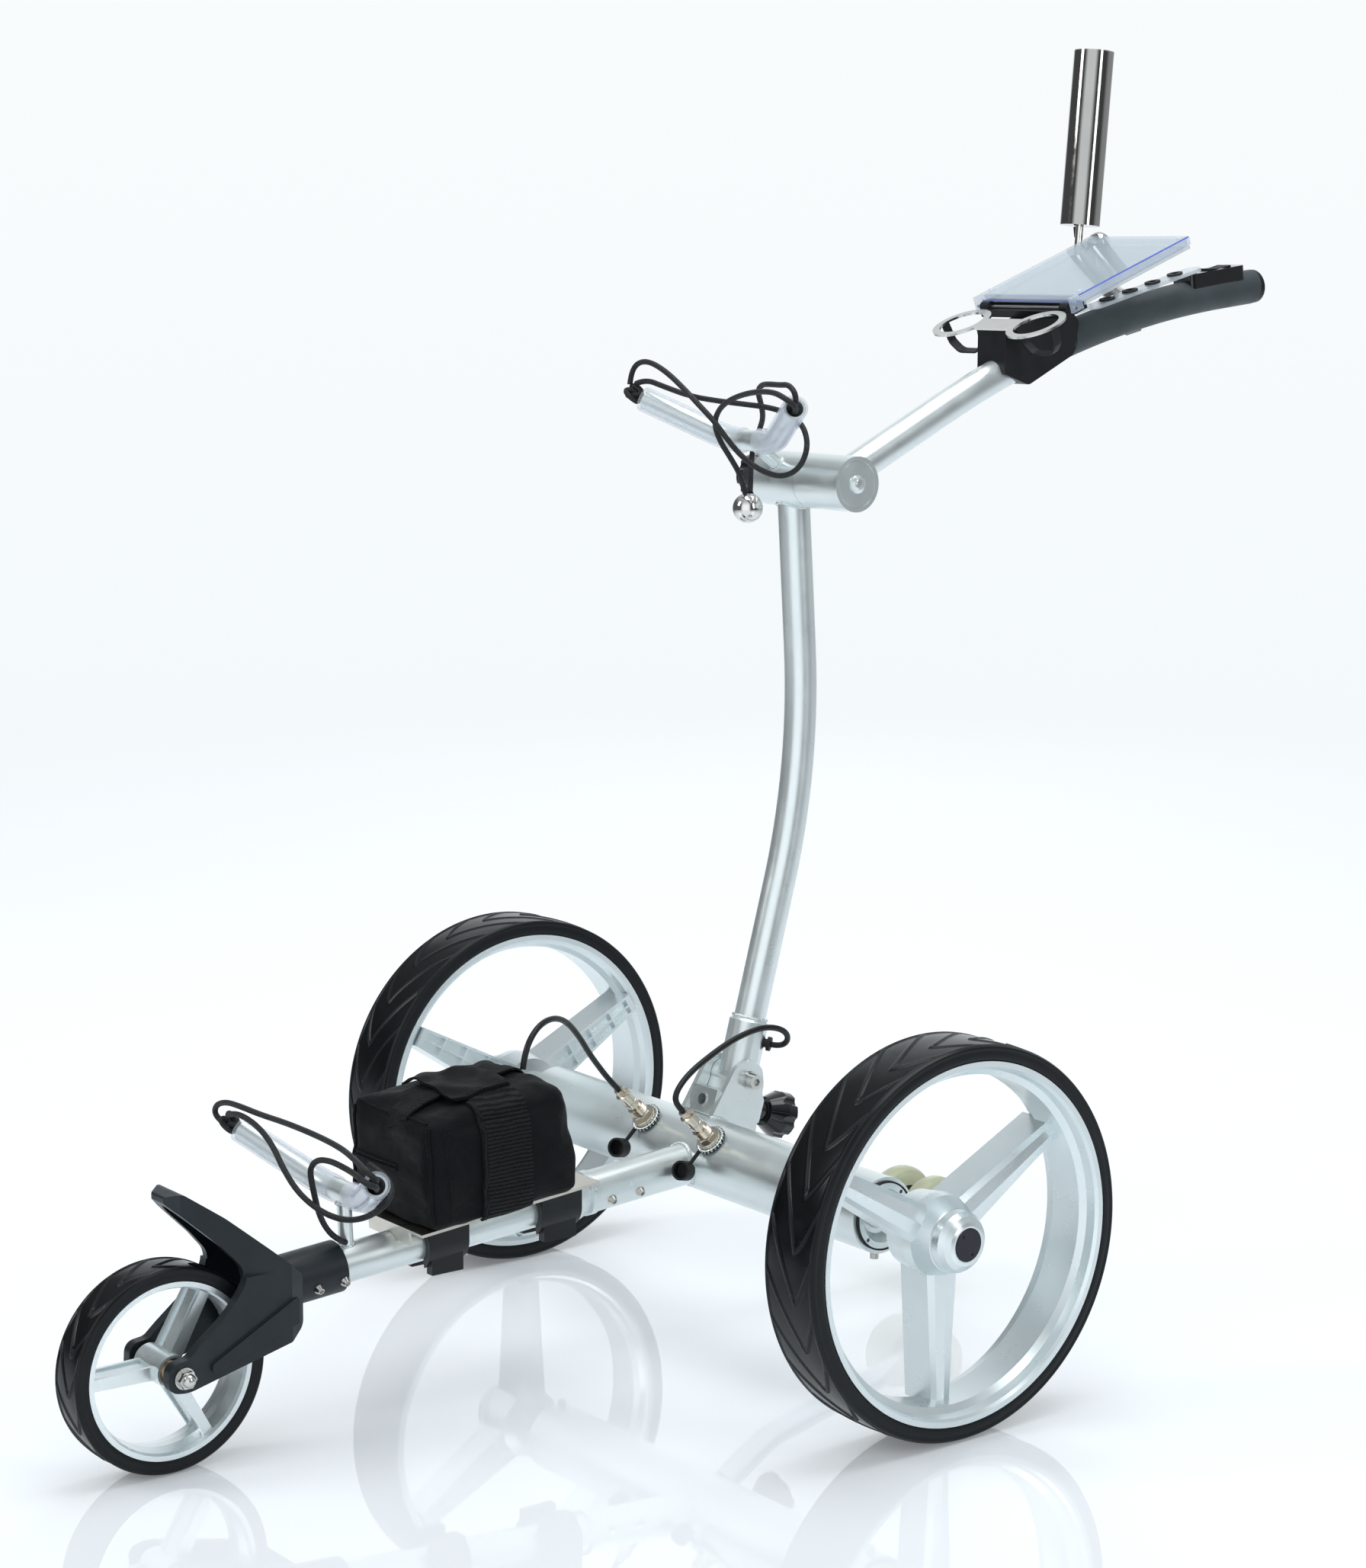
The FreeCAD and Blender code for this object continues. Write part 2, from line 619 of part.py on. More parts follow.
def tail_tube():
    """Tube behind the axle that carries the two anti-tip wheels on a cross bolt."""
    points = [V(0, 20, AXLE_Z - 22), V(0, 70, 108), V(0, 232, 72)]
    tube = bent_tube(points, 60.0, 11.0, 9.0).cut(axle_cut(0.05))
    lug = rod_x(TAIL_Y, TAIL_Z, -8, 8, 9.0)
    lug = lug.cut(rod_x(TAIL_Y, TAIL_Z, -9, 9, 4.02))
    tube = tube.cut(rod_x(TAIL_Y, TAIL_Z, -12, 12, 4.02))
    bolt = [rod_x(TAIL_Y, TAIL_Z, -41, 41, 4.0)]
    for s in (-1, 1):
        outline = Part.makePolygon(hexagon(V(41.05, TAIL_Y, TAIL_Z), X_AXIS, 7.2))
        nut = Part.Face(outline).extrude(V(5, 0, 0))
        bolt.append(nut if s > 0 else mirrored(nut))
    return group([one([tube, lug])] + bolt)


TAIL_Y = 240.0
TAIL_Z = 70.0
TAIL_R = 34.0


def tail_wheel():
    """Soft skate wheel on a spoked core."""
    tyre = turned_x([(11.4, 18.2), (11.4, 27.0), (13.6, 31.5), (18.0, 33.7), (22.0, TAIL_R), (26.0, 33.7),
                     (31.0, 31.5), (33.5, 27.0), (33.5, 18.2)], TAIL_Y, TAIL_Z)
    core = turned_x([(12.0, 14.5), (12.0, 18.0), (32.0, 18.0), (32.0, 14.5)], TAIL_Y, TAIL_Z)
    hub = turned_x([(11.4, 4.0 + RUNNING_GAP), (11.4, 9.0), (33.0, 9.0), (33.0, 4.0 + RUNNING_GAP)],
                   TAIL_Y, TAIL_Z)
    spoke = block(17.0, 27.0, TAIL_Y - 1.5, TAIL_Y + 1.5, TAIL_Z + 8.5, TAIL_Z + 15)
    spokes = [spun(spoke, TAIL_Y, TAIL_Z, 60 * k) for k in range(6)]
    return group([tyre, one([core, hub] + spokes)])


# ---------------------------------------------------------------- fold hinge and upright

def hinge_cheeks():
    """Two plates welded on the axle tube."""
    outline = [(5, 160), (5, 193), (31, 232), (46, 236), (60, 228), (61.5, 212), (50, 160)]
    plates = []
    for x0 in (POST_X + CHEEK_OUT - CHEEK_T, POST_X - CHEEK_OUT):
        plate = plate_x(outline, x0, x0 + CHEEK_T, [1, 2, 13, 13, 13, 13, 1])
        plates.append(plate.cut(axle_cut()).cut(rod_x(PIVOT_Y, PIVOT_Z, -60, 20, PIVOT_R + RUNNING_GAP)))
    return group(plates)


def along_knob(t, lift=0.0):
    """Point on the clamp knob's axis, t behind the clamp block's front face, lift above the axis."""
    direction = V(0, math.cos(KNOB_TILT), math.sin(KNOB_TILT))
    return V(POST_X, 11.0, 202.5) + direction * t + direction.cross(V(-1, 0, 0)) * lift


def clamp_block():
    """Bushed block between the cheeks, and the pad that it stands on."""
    inner = CHEEK_OUT - CHEEK_T - 0.1
    body = block(POST_X - inner, POST_X + inner, 0, 15, -11, 11)
    body.rotate(V(0, 0, 0), X_AXIS, math.degrees(KNOB_TILT))
    body.translate(V(0, 11.0, 202.5))
    hole = rod(along_knob(-2), along_knob(17), 6.6)
    bush = pipe_between(along_knob(-0.8), along_knob(15), 6.5, 5.0)
    return group([body.cut(hole).cut(axle_cut(0.1)), bush])


def pivot_bolt():
    """Through bolt of the fold hinge: head, washers and lock nut."""
    out = POST_X + CHEEK_OUT
    back = POST_X - CHEEK_OUT
    shank = rod_x(PIVOT_Y, PIVOT_Z, back - 8, out + 2, PIVOT_R)
    head = rod_x(PIVOT_Y, PIVOT_Z, out + 1.8, out + 9.5, 6.5)
    head = head.cut(Part.Face(Part.makePolygon(
        hexagon(V(out + 4.5, PIVOT_Y, PIVOT_Z), X_AXIS, 3.4))).extrude(V(8, 0, 0)))
    washers = [ring_x(PIVOT_Y, PIVOT_Z, out + 0.05, out + 1.75, 7.8, PIVOT_R + 0.02),
               ring_x(PIVOT_Y, PIVOT_Z, back - 1.75, back - 0.05, 7.8, PIVOT_R + 0.02)]
    outline = Part.makePolygon(hexagon(V(back - 8, PIVOT_Y, PIVOT_Z), X_AXIS, 7.2))
    nut = Part.Face(outline).extrude(V(6.2, 0, 0))
    nut = nut.cut(rod_x(PIVOT_Y, PIVOT_Z, back - 9, out, PIVOT_R + 0.02))
    return group([one([shank, head]), nut] + washers)


def lean_point(s, offset=0.0):
    """Point s up the foot's axis, which starts level with the pivot; offset is towards the rear."""
    along = V(0, math.sin(LEAN), math.cos(LEAN))
    across = V(0, math.cos(LEAN), -math.sin(LEAN))
    return V(POST_X, 49.6, PIVOT_Z) + along * s + across * offset


def upright_tube():
    """Upright: two straight runs and one long gentle bend, with the cable's exit hole."""
    corner = lean_point(277.0)
    points = [lean_point(20.0), corner, V(POST_X, TOP_Y, TOP_Z)]
    tube = bent_tube(points, 620.0, POST_R, POST_R - 2.0)
    return tube.cut(rod_x(TOP_Y, TOP_Z, -60, 20, BARREL_R)).cut(grommet_hole(4.0))


GROMMET_SEAT = V(POST_X + 12.0, 66.5, 247.0)
GROMMET_OUT = V(0.78, 0.6, -0.16)


def grommet_hole(radius):
    out = V(GROMMET_OUT).normalize()
    return rod(GROMMET_SEAT - out * 12, GROMMET_SEAT + out * 10, radius)


def upright_foot():
    """Foot of the upright: sleeve, eye round the pivot and the tongue that the knob pulls in."""
    half = CHEEK_OUT - CHEEK_T - 0.4
    sleeve = rod(lean_point(2.0), lean_point(48.0), 17.2)
    collar = Part.makeCone(17.2, 14.6, 3.0, lean_point(48.0), lean_point(60) - lean_point(48.0))
    eye = rod_x(PIVOT_Y, PIVOT_Z, POST_X - half, POST_X + half, 12.5)
    tongue = plate_x([(29.8, 208.4), (36, 222), (58, 224), (66.4, 195.5), (60.2, 176.2), (24.5, 187.6)],
                     POST_X - half, POST_X + half, 1.5)
    foot = one([sleeve, collar, eye, tongue]).common(
        block(POST_X - half, POST_X + half, 0, 120, 150, 320))
    foot = foot.cut(rod(lean_point(19.9), lean_point(70.0), POST_R + 0.05))
    foot = foot.cut(rod_x(PIVOT_Y, PIVOT_Z, -60, 20, PIVOT_R + RUNNING_GAP))
    return foot.cut(rod(along_knob(10), along_knob(70), STUD_R + RUNNING_GAP)).cut(grommet_hole(5.0))


def cable_grommet():
    out = V(GROMMET_OUT).normalize()
    flange = rod(GROMMET_SEAT + out * 5.4, GROMMET_SEAT + out * 8.6, 6.2)
    neck = rod(GROMMET_SEAT - out * 2, GROMMET_SEAT + out * 5.4, 3.8)
    return one([flange, neck])


def star_knob(centre, direction, radius, depth, lobes):
    """Moulded hand knob with finger scallops."""
    d = V(direction).normalize()
    side = V(d.z, d.x, d.y).cross(d).normalize()
    up = d.cross(side)
    body = Part.makeCylinder(radius, depth, centre, d)
    cone = Part.makeCone(radius * 0.62, radius * 1.25, depth, centre, d)
    scoops = []
    for k in range(lobes):
        a = 2 * math.pi * k / lobes
        p = centre + (side * math.cos(a) + up * math.sin(a)) * (radius * 1.16)
        scoops.append(Part.makeCylinder(radius * 0.27, depth + 2, p - d, d))
    return body.common(cone).cut(group(scoops))


def base_knob():
    """Clamp knob with its threaded rod; the rod's tip stops short of the clamp block."""
    direction = V(0, math.cos(KNOB_TILT), math.sin(KNOB_TILT))
    head = star_knob(along_knob(70), direction, 20.5, 24.0, 7)
    neck = rod(along_knob(56.5), along_knob(72), 9.0)
    stud = rod(along_knob(16.2), along_knob(72), STUD_R)
    return one([head, neck, stud])


def post_barrel():
    """Fixed half of the handle hinge, welded on the upright."""
    return ring_x(TOP_Y, TOP_Z, -52, 4.9, BARREL_R, STUD_R + RUNNING_GAP)


def handle_barrel():
    """Turning half of the handle hinge with its domed end button."""
    barrel = ring_x(TOP_Y, TOP_Z, 5.3, 62, BARREL_R, STUD_R + RUNNING_GAP)
    barrel = barrel.cut(rod_x(TOP_Y, TOP_Z, 61.2, 63, 20.0)).fuse(
        ring_x(TOP_Y, TOP_Z, 61.2, 61.9, 19.2, STUD_R + RUNNING_GAP))
    button = turned_x([(62.0, 0), (62.0, 8.0), (64.0, 7.4), (66.0, 4.6), (66.6, 0)], TOP_Y, TOP_Z)
    return group([barrel, button])


def top_knob():
    """Hinge knob with the stud that runs through both halves."""
    head = star_knob(V(-55, TOP_Y, TOP_Z), V(-1, 0, 0), 19.0, 22.0, 6)
    stud = rod_x(TOP_Y, TOP_Z, -60, 50, STUD_R)
    collar = rod_x(TOP_Y, TOP_Z, -60, -52.5, 9.0)
    return one([head, stud, collar])


# ---------------------------------------------------------------- handle

def handle_point(s, lift=0.0, x=HANDLE_X):
    """Point s along the handle's first straight, lift above its axis."""
    along = V(0, math.cos(HANDLE_RISE), math.sin(HANDLE_RISE))
    up = V(0, -math.sin(HANDLE_RISE), math.cos(HANDLE_RISE))
    return V(x, TOP_Y, TOP_Z) + along * s + up * lift


HANDLE_END = V(HANDLE_X, 611.8, 896.8)
HANDLE_CORNER = handle_point(313.0)
HANDLE_BEND = 1060.0
GRIP_START = 372.0


def handle_run():
    return [V(HANDLE_X, TOP_Y, TOP_Z), HANDLE_CORNER, HANDLE_END]


def slice_y(shape, y0, y1):
    return shape.common(block(-200, 200, y0, y1, 600, 1200))


def handle_tube():
    tube = bent_tube(handle_run(), HANDLE_BEND, HANDLE_R, HANDLE_R - 2.0)
    tube = tube.cut(rod_x(TOP_Y, TOP_Z, 0, 70, BARREL_R))
    return slice_y(tube, 0, HANDLE_END.y - 8)


def grip():
    """Rubber grip over the handle's end, closed by a moulded cap."""
    sleeve = bent_tube(handle_run(), HANDLE_BEND, GRIP_R, HANDLE_R + 0.05)
    core = bent_tube(handle_run(), HANDLE_BEND, GRIP_R - 0.3)
    sleeve = slice_y(sleeve, GRIP_START, HANDLE_END.y - 5.2)
    cap = slice_y(core, HANDLE_END.y - 5, HANDLE_END.y + 3)
    return group([sleeve, cap])


def tilted(shape, angle, pivot):
    placed = shape.copy()
    placed.rotate(pivot, X_AXIS, angle)
    return placed


PLATE_TILT = 24.0
CARD_TILT = 20.8
CARD_HINGE = V(HANDLE_X, 324.0, 879.0)
CARD_HALF = 62.0
CARD_LENGTH = 150.0
KNUCKLE_R = 4.8


def handle_clamp():
    """Moulded clamp block round the handle, with the seat of the tee ring plate."""
    handle = bent_tube(handle_run(), HANDLE_BEND, HANDLE_R + 0.05)
    outline = [(283, 822), (283, 861), (312, 866), (356, 882.6), (372, 866), (366, 838), (312, 812)]
    shell = plate_x(outline, HANDLE_X - 17.5, HANDLE_X + 17.5, [3, 3, 4, 4, 6, 8, 8])
    slot = tilted(block(-60, 130, 240, 290 + 26, 861.6, 864.4), PLATE_TILT, V(0, 288, 862))
    return shell.cut(handle).cut(slot).cut(bent_tube(handle_run(), HANDLE_BEND, GRIP_R + 0.1).common(
        block(0, 70, GRIP_START - 0.2, 500, 700, 1000)))


RING_OFFSET = 47.0
RING_R = 27.0


def ring_plate():
    """Steel plate with a ball ring on each side of the handle."""
    pieces = []
    for s in (-1, 1):
        centre = V(HANDLE_X + s * RING_OFFSET, 292, 862.2)
        pieces.append(Part.makeCylinder(RING_R, 2.0, centre))
    bridge = block(HANDLE_X - 30, HANDLE_X + 30, 281, 301, 862.2, 864.2)
    plate = one(pieces + [bridge])
    for s in (-1, 1):
        centre = V(HANDLE_X + s * RING_OFFSET, 292, 861)
        plate = plate.cut(Part.makeCylinder(RING_R - 6.5, 6.0, centre))
    return tilted(plate, PLATE_TILT, V(0, 288, 862))


def ring_loops():
    """Rubber bands that hang below the rings to hold a ball."""
    loops = []
    for s in (-1, 1):
        x = HANDLE_X + s * RING_OFFSET
        solids = []
        for wall in (0.0, 1.6):
            half = RING_R - 3.2 - wall
            low = 836.0 + wall
            top = 861.9 + 2 * wall
            outline = [V(x + dx * half, 288 - wall, z) for dx, z in
                       ((-1, top), (-0.86, low + 9), (-0.5, low), (0.5, low), (0.86, low + 9), (1, top))]
            wire = Part.Wire(rounded_edges(outline, [0.5, 9, 10, 10, 9, 0.5], closed=True))
            solids.append(Part.Face(wire).extrude(V(0, 8 + 2 * wall, 0)))
        loops.append(tilted(solids[0].cut(solids[1]), PLATE_TILT, V(0, 288, 862)))
    return group(loops)


def card_frame(shape):
    """Tips a shape drawn level behind the card holder's hinge on to its slope."""
    return tilted(shape, CARD_TILT, CARD_HINGE)


def card_base():
    """Back tray of the scorecard holder with hinge knuckles and pin."""
    y, z = CARD_HINGE.y, CARD_HINGE.z
    tray = block(HANDLE_X - CARD_HALF, HANDLE_X + CARD_HALF, y + 10.2, y + CARD_LENGTH - 2, z - 1, z + 2.0)
    tray = tray.cut(block(HANDLE_X - CARD_HALF + 3, HANDLE_X + CARD_HALF - 3, y + 14, y + CARD_LENGTH - 6,
                          z + 0.6, z + 4))
    bar = block(HANDLE_X - CARD_HALF + 8, HANDLE_X + CARD_HALF - 8, y - 6, y + 20, z - 7.5, z - 1)
    knuckles = []
    for x in (HANDLE_X - 55, HANDLE_X + 45):
        knuckles.append(rod_x(y, z, x, x + 10, KNUCKLE_R))
        knuckles.append(block(x, x + 10, y - KNUCKLE_R, y + KNUCKLE_R, z - 4, z))
    pin_bore = rod_x(y, z, HANDLE_X - 80, HANDLE_X + 80, 1.6)
    base = one([tray, bar] + knuckles).cut(pin_bore)
    pin = rod_x(y, z, HANDLE_X - CARD_HALF - 0.5, HANDLE_X + CARD_HALF + 0.5, 1.5)
    return group([card_frame(base), card_frame(pin)])


def card_lid():
    """Clear lid: a shallow box open below, with ears on the hinge pin."""
    y, z = CARD_HINGE.y, CARD_HINGE.z
    x0, x1 = HANDLE_X - CARD_HALF, HANDLE_X + CARD_HALF
    shell = block(x0, x1, y + 5.5, y + CARD_LENGTH, z + 2.3, z + 10.0)
    shell = shell.cut(block(x0 + 2, x1 - 2, y + 7.5, y + CARD_LENGTH - 2, z + 1.8, z + 8.2))
    ears = [block(x, x + 3.6, y - 3.6, y + 9, z - 3.4, z + 10.0) for x in (x0, x1 - 3.6)]
    lid = one([shell] + ears).cut(rod_x(y, z, x0 - 5, x1 + 5, 1.55))
    edges = [e for e in lid.Edges if e.Length > 100 and e.BoundBox.ZMin > z + 9.5]
    return card_frame(lid.makeFillet(1.2, edges))


TEE_HOLE_R = 3.2


def tee_strip():
    """Clear strip along the grip with four rubber tee grommets."""
    solids = []
    path = [(382, 880.0), (500, 910.5)]
    direction = V(0, path[1][0] - path[0][0], path[1][1] - path[0][1])
    angle = math.degrees(math.atan2(direction.z, direction.y))
    length = direction.Length
    strip = block(HANDLE_X + 19, HANDLE_X + 37, 382, 382 + length, 879, 882)
    arm = block(HANDLE_X + 17.6, HANDLE_X + 28, 358, 384, 879, 882)
    ends = [Part.makeCylinder(9.0, 3.0, V(HANDLE_X + 28, y, 879)) for y in (382, 382 + length)]
    strip = one([strip, arm] + ends)
    for k in range(4):
        centre = V(HANDLE_X + 28, 396 + 29 * k, 870)
        strip = strip.cut(Part.makeCylinder(5.8, 30, centre))
        flange = Part.makeCylinder(7.2, 1.4, centre + V(0, 0, 12.1))
        sleeve = Part.makeCylinder(5.7, 5.0, centre + V(0, 0, 8.0))
        solids.append(flange.fuse(sleeve).cut(Part.makeCylinder(TEE_HOLE_R, 30, centre)))
    placed = [tilted(s, angle, V(0, 382, 880)) for s in [strip] + solids]
    return group(placed)


PAD_TILT = 7.5
PAD_PIVOT = V(0, 520, 884)
ROCKER_Y, ROCKER_Z = 563.0, 903.8
ROCKER_PIN_R = 1.0


def control_module():
    """Speed control box on top of the grip, with pockets for its button and rocker."""
    body = block(HANDLE_X - 13, HANDLE_X + 13, 520, 590, 893, 907.5)
    edges = [e for e in body.Edges if abs(e.tangentAt(e.FirstParameter).z) > 0.9]
    body = body.makeFillet(4.0, edges)
    body = body.cut(Part.makeCylinder(5.3, 10, V(HANDLE_X, 533, 902)))
    body = body.cut(block(HANDLE_X - 8.3, HANDLE_X + 8.3, 548, 578, 900, 912))
    body = body.cut(rod_x(ROCKER_Y, ROCKER_Z, HANDLE_X - 9.9, HANDLE_X + 9.9, ROCKER_PIN_R + RUNNING_GAP))
    body = tilted(body, PAD_TILT, PAD_PIVOT)
    return body.cut(bent_tube(handle_run(), HANDLE_BEND, GRIP_R + 0.1))


def power_button():
    cap = turned_z([(0, 904.2), (5.1, 904.2), (5.1, 908.6), (4.4, 909.4), (0, 909.4)], HANDLE_X, 533)
    return tilted(cap, PAD_TILT, PAD_PIVOT)


def speed_rocker():
    """Rocker for the speed, on a cross pin in its pocket."""
    outline = [(549.4, 907.0), (549.4, 909.2), (563, 907.6), (576.6, 909.2), (576.6, 907.0), (563, 901.2)]
    cap = plate_x(outline, HANDLE_X - 7.9, HANDLE_X + 7.9, [0.8, 0.8, 20, 0.8, 0.8, 3])
    pin = rod_x(ROCKER_Y, ROCKER_Z, HANDLE_X - 9.6, HANDLE_X + 9.6, ROCKER_PIN_R)
    return tilted(one([cap, pin]), PAD_TILT, PAD_PIVOT)


# ---------------------------------------------------------------- umbrella holder

UMBRELLA_FOOT = V(-49.0, 467.2, 951.3)
UMBRELLA_TOP = V(-49.0, 480.7, 1108.5)
UMBRELLA_R = 18.3


def umbrella_holder():
    """Bent chrome arm from a band round the grip to a domed end, with the stud of the tube."""
    band = bent_tube(handle_run(), HANDLE_BEND, GRIP_R + 3.0, GRIP_R + 0.1)
    band = slice_y(band, 452, 470).common(block(-20, HANDLE_X - 3, 440, 480, 800, 1000))
    arm_points = [V(HANDLE_X - 12, 461, 882), V(-14, 472, 893), V(-36, 486, 908), V(-47, 490, 934)]
    arm = bent_tube(arm_points, 16.0, 8.6).cut(bent_tube(handle_run(), HANDLE_BEND, GRIP_R + 0.1))
    dome = Part.makeSphere(11.0, V(-47, 490, 935))
    axis = (UMBRELLA_TOP - UMBRELLA_FOOT).normalize()
    stud = rod(UMBRELLA_FOOT - axis * 42, UMBRELLA_FOOT + axis * 22, 3.6)
    lug = rod(UMBRELLA_FOOT - axis * 38, V(-38, 484, 908), 4.2)
    return one([band, arm, dome, stud, lug])


def umbrella_tube():
    """Open polished tube for the umbrella shaft, free to swivel on its stud."""
    axis = (UMBRELLA_TOP - UMBRELLA_FOOT).normalize()
    wall = pipe_between(UMBRELLA_FOOT, UMBRELLA_TOP, UMBRELLA_R, UMBRELLA_R - 1.5)
    floor = rod(UMBRELLA_FOOT, UMBRELLA_FOOT + axis * 18, UMBRELLA_R)
    bore = rod(UMBRELLA_FOOT - axis * 1, UMBRELLA_FOOT + axis * 23, 3.6 + RUNNING_GAP)
    stop = rod(UMBRELLA_FOOT + axis * 18, UMBRELLA_FOOT + axis * 24, UMBRELLA_R)
    return one([wall, floor.cut(bore), stop.cut(bore)])


# ---------------------------------------------------------------- cords

def arm_end(points, index):
    """Mouth of a cradle arm: its centre and the direction that it faces."""
    end = points[index]
    bend = points[2] if index else points[1]
    return end, (end - bend).normalize()


def cord_knot(points):
    """Knot that stops the shock cord at the mouth of a cradle's far arm."""
    end, out = arm_end(points, 0)
    profile = [(0, 0), (4.4, 0), (4.4, 6.4), (7.4, 9.0), (8.5, 13.5), (7.6, 18.0), (4.8, 21.2), (0, 22.2)]
    knot = turned_z(profile, 0, 0)
    knot.Placement = FreeCAD.Placement(end, FreeCAD.Rotation(V(0, 0, 1), out))
    return knot


def cord_ball():
    """Steel ball on the loop of the upper shock cord."""
    return Part.makeSphere(13.0, BALL_CENTRE)


BALL_CENTRE = V(-20.3, 55.0, 711.5)

LOWER_LOOP = [V(101, -399.5, 227.2), V(107.5, -402.6, 230.3), V(108, -409, 236.5), V(99, -411, 241),
              V(84, -408, 243), V(60, -405, 246), V(24, -404, 247.6), V(-20, -406, 248.8),
              V(-58, -407, 247.6), V(-88, -407.5, 248), V(-110, -408.5, 247.5), V(-125, -409.5, 242),
              V(-128, -409, 232.5), V(-120, -407, 229)]
LOWER_STRAND = [V(-108, -408, 236), V(-99, -410, 240.5), V(-80, -411, 243), V(-52, -412.5, 240),
                V(-26, -415, 231), V(-8, -416.5, 216.5), V(11, -416, 203), V(32, -413, 194),
                V(54, -409, 190), V(73, -403.5, 191), V(87, -395, 197), V(91, -382.9, 205.4),
                V(84.2, -373.6, 215), V(68, -372, 222), V(53, -376, 226.5)]
LOWER_HOOK = [V(101.9, -399.9, 222.1), V(109.5, -403.4, 225.8), V(111.5, -411, 229), V(103, -414, 232),
              V(89, -411, 233), V(70, -407.5, 232.6), V(50, -408.5, 234.2), V(34, -411, 232),
              V(25, -412, 223), V(27, -411.5, 211), V(26, -408, 198), V(18, -400.5, 184),
              V(12.5, -391, 168.5), V(10.5, -380, 157), V(7.2, -369.5, 151.5)]
UPPER_LOOP = [V(-138, 18, 812.5), V(-137.5, 19, 823), V(-128, 19.5, 832), V(-110, 18.5, 833),
              V(-86, 18, 825), V(-62, 19, 811), V(-42, 20, 797.5), V(-25, 22, 785.5), V(-12, 26, 770.5),
              V(0, 32.5, 756), V(17, 39.5, 745), V(35, 47, 740.5), V(48, 54, 747.5), V(51, 60, 761),
              V(45, 65.5, 773.5), V(36, 66.5, 785), V(24, 61.5, 793), V(9, 53.5, 797.5),
              V(-12, 44, 799.5), V(-38, 36, 801.5), V(-68, 30, 804.5), V(-98, 24, 812),
              V(-119, 21, 817.5), V(-131, 19.5, 813.5)]
BALL_FRONT = [V(78.9, 24.2, 797.3), V(85.3, 21, 800.2), V(86.5, 13.5, 805), V(78, 11.5, 809.6),
              V(63, 14.5, 812.5), V(42, 18, 812.6), V(17, 21, 809.6), V(-8, 24.5, 803.6),
              V(-27, 28.5, 795), V(-38, 32, 783), V(-36, 36.5, 768.5), V(-28, 42.5, 753.5),
              V(-22, 49, 738.5), V(-20.6, 52.5, 724)]
BALL_BACK = [V(77.1, 25, 802.1), V(83.3, 21.8, 804.9), V(84, 19.5, 813.5), V(74, 21, 819),
             V(57, 26.5, 818), V(37, 32, 818), V(17, 39, 817), V(0, 48.5, 810.5), V(-9, 60, 798.5),
             V(-20, 71, 787.5), V(-34, 78.5, 776.5), V(-43, 79.5, 763), V(-41, 75, 749.5),
             V(-31, 66.5, 737), V(-20.5, 57.6, 724)]
BATTERY_CABLE = [V(-2, -192, 263.4), V(-2.5, -190.5, 273), V(-5, -183, 287), V(-11, -168, 296.5),
                 V(-20, -148, 297.5), V(-31, -127, 289), V(-41, -107, 271), V(-49, -90.5, 252),
                 V(-54.5, -76.5, 237.5), V(-57.5, -64.5, 224.6), V(-58, -53.74, 213.74)]
CONTROL_CABLE = [V(-4.2, 71.8, 245.5), V(1.8, 76.2, 244.6), V(9, 79.2, 249), V(13.5, 76, 257.5),
                 V(15, 65.5, 264.5), V(15.2, 49, 268), V(15.8, 29, 266), V(17, 7.5, 260.5),
                 V(20, -15, 252.5), V(24, -36, 244.5), V(28.5, -51.5, 236.5), V(32, -61, 228),
                 V(33, -60.2, 220.2), V(33, -53.74, 213.74)]


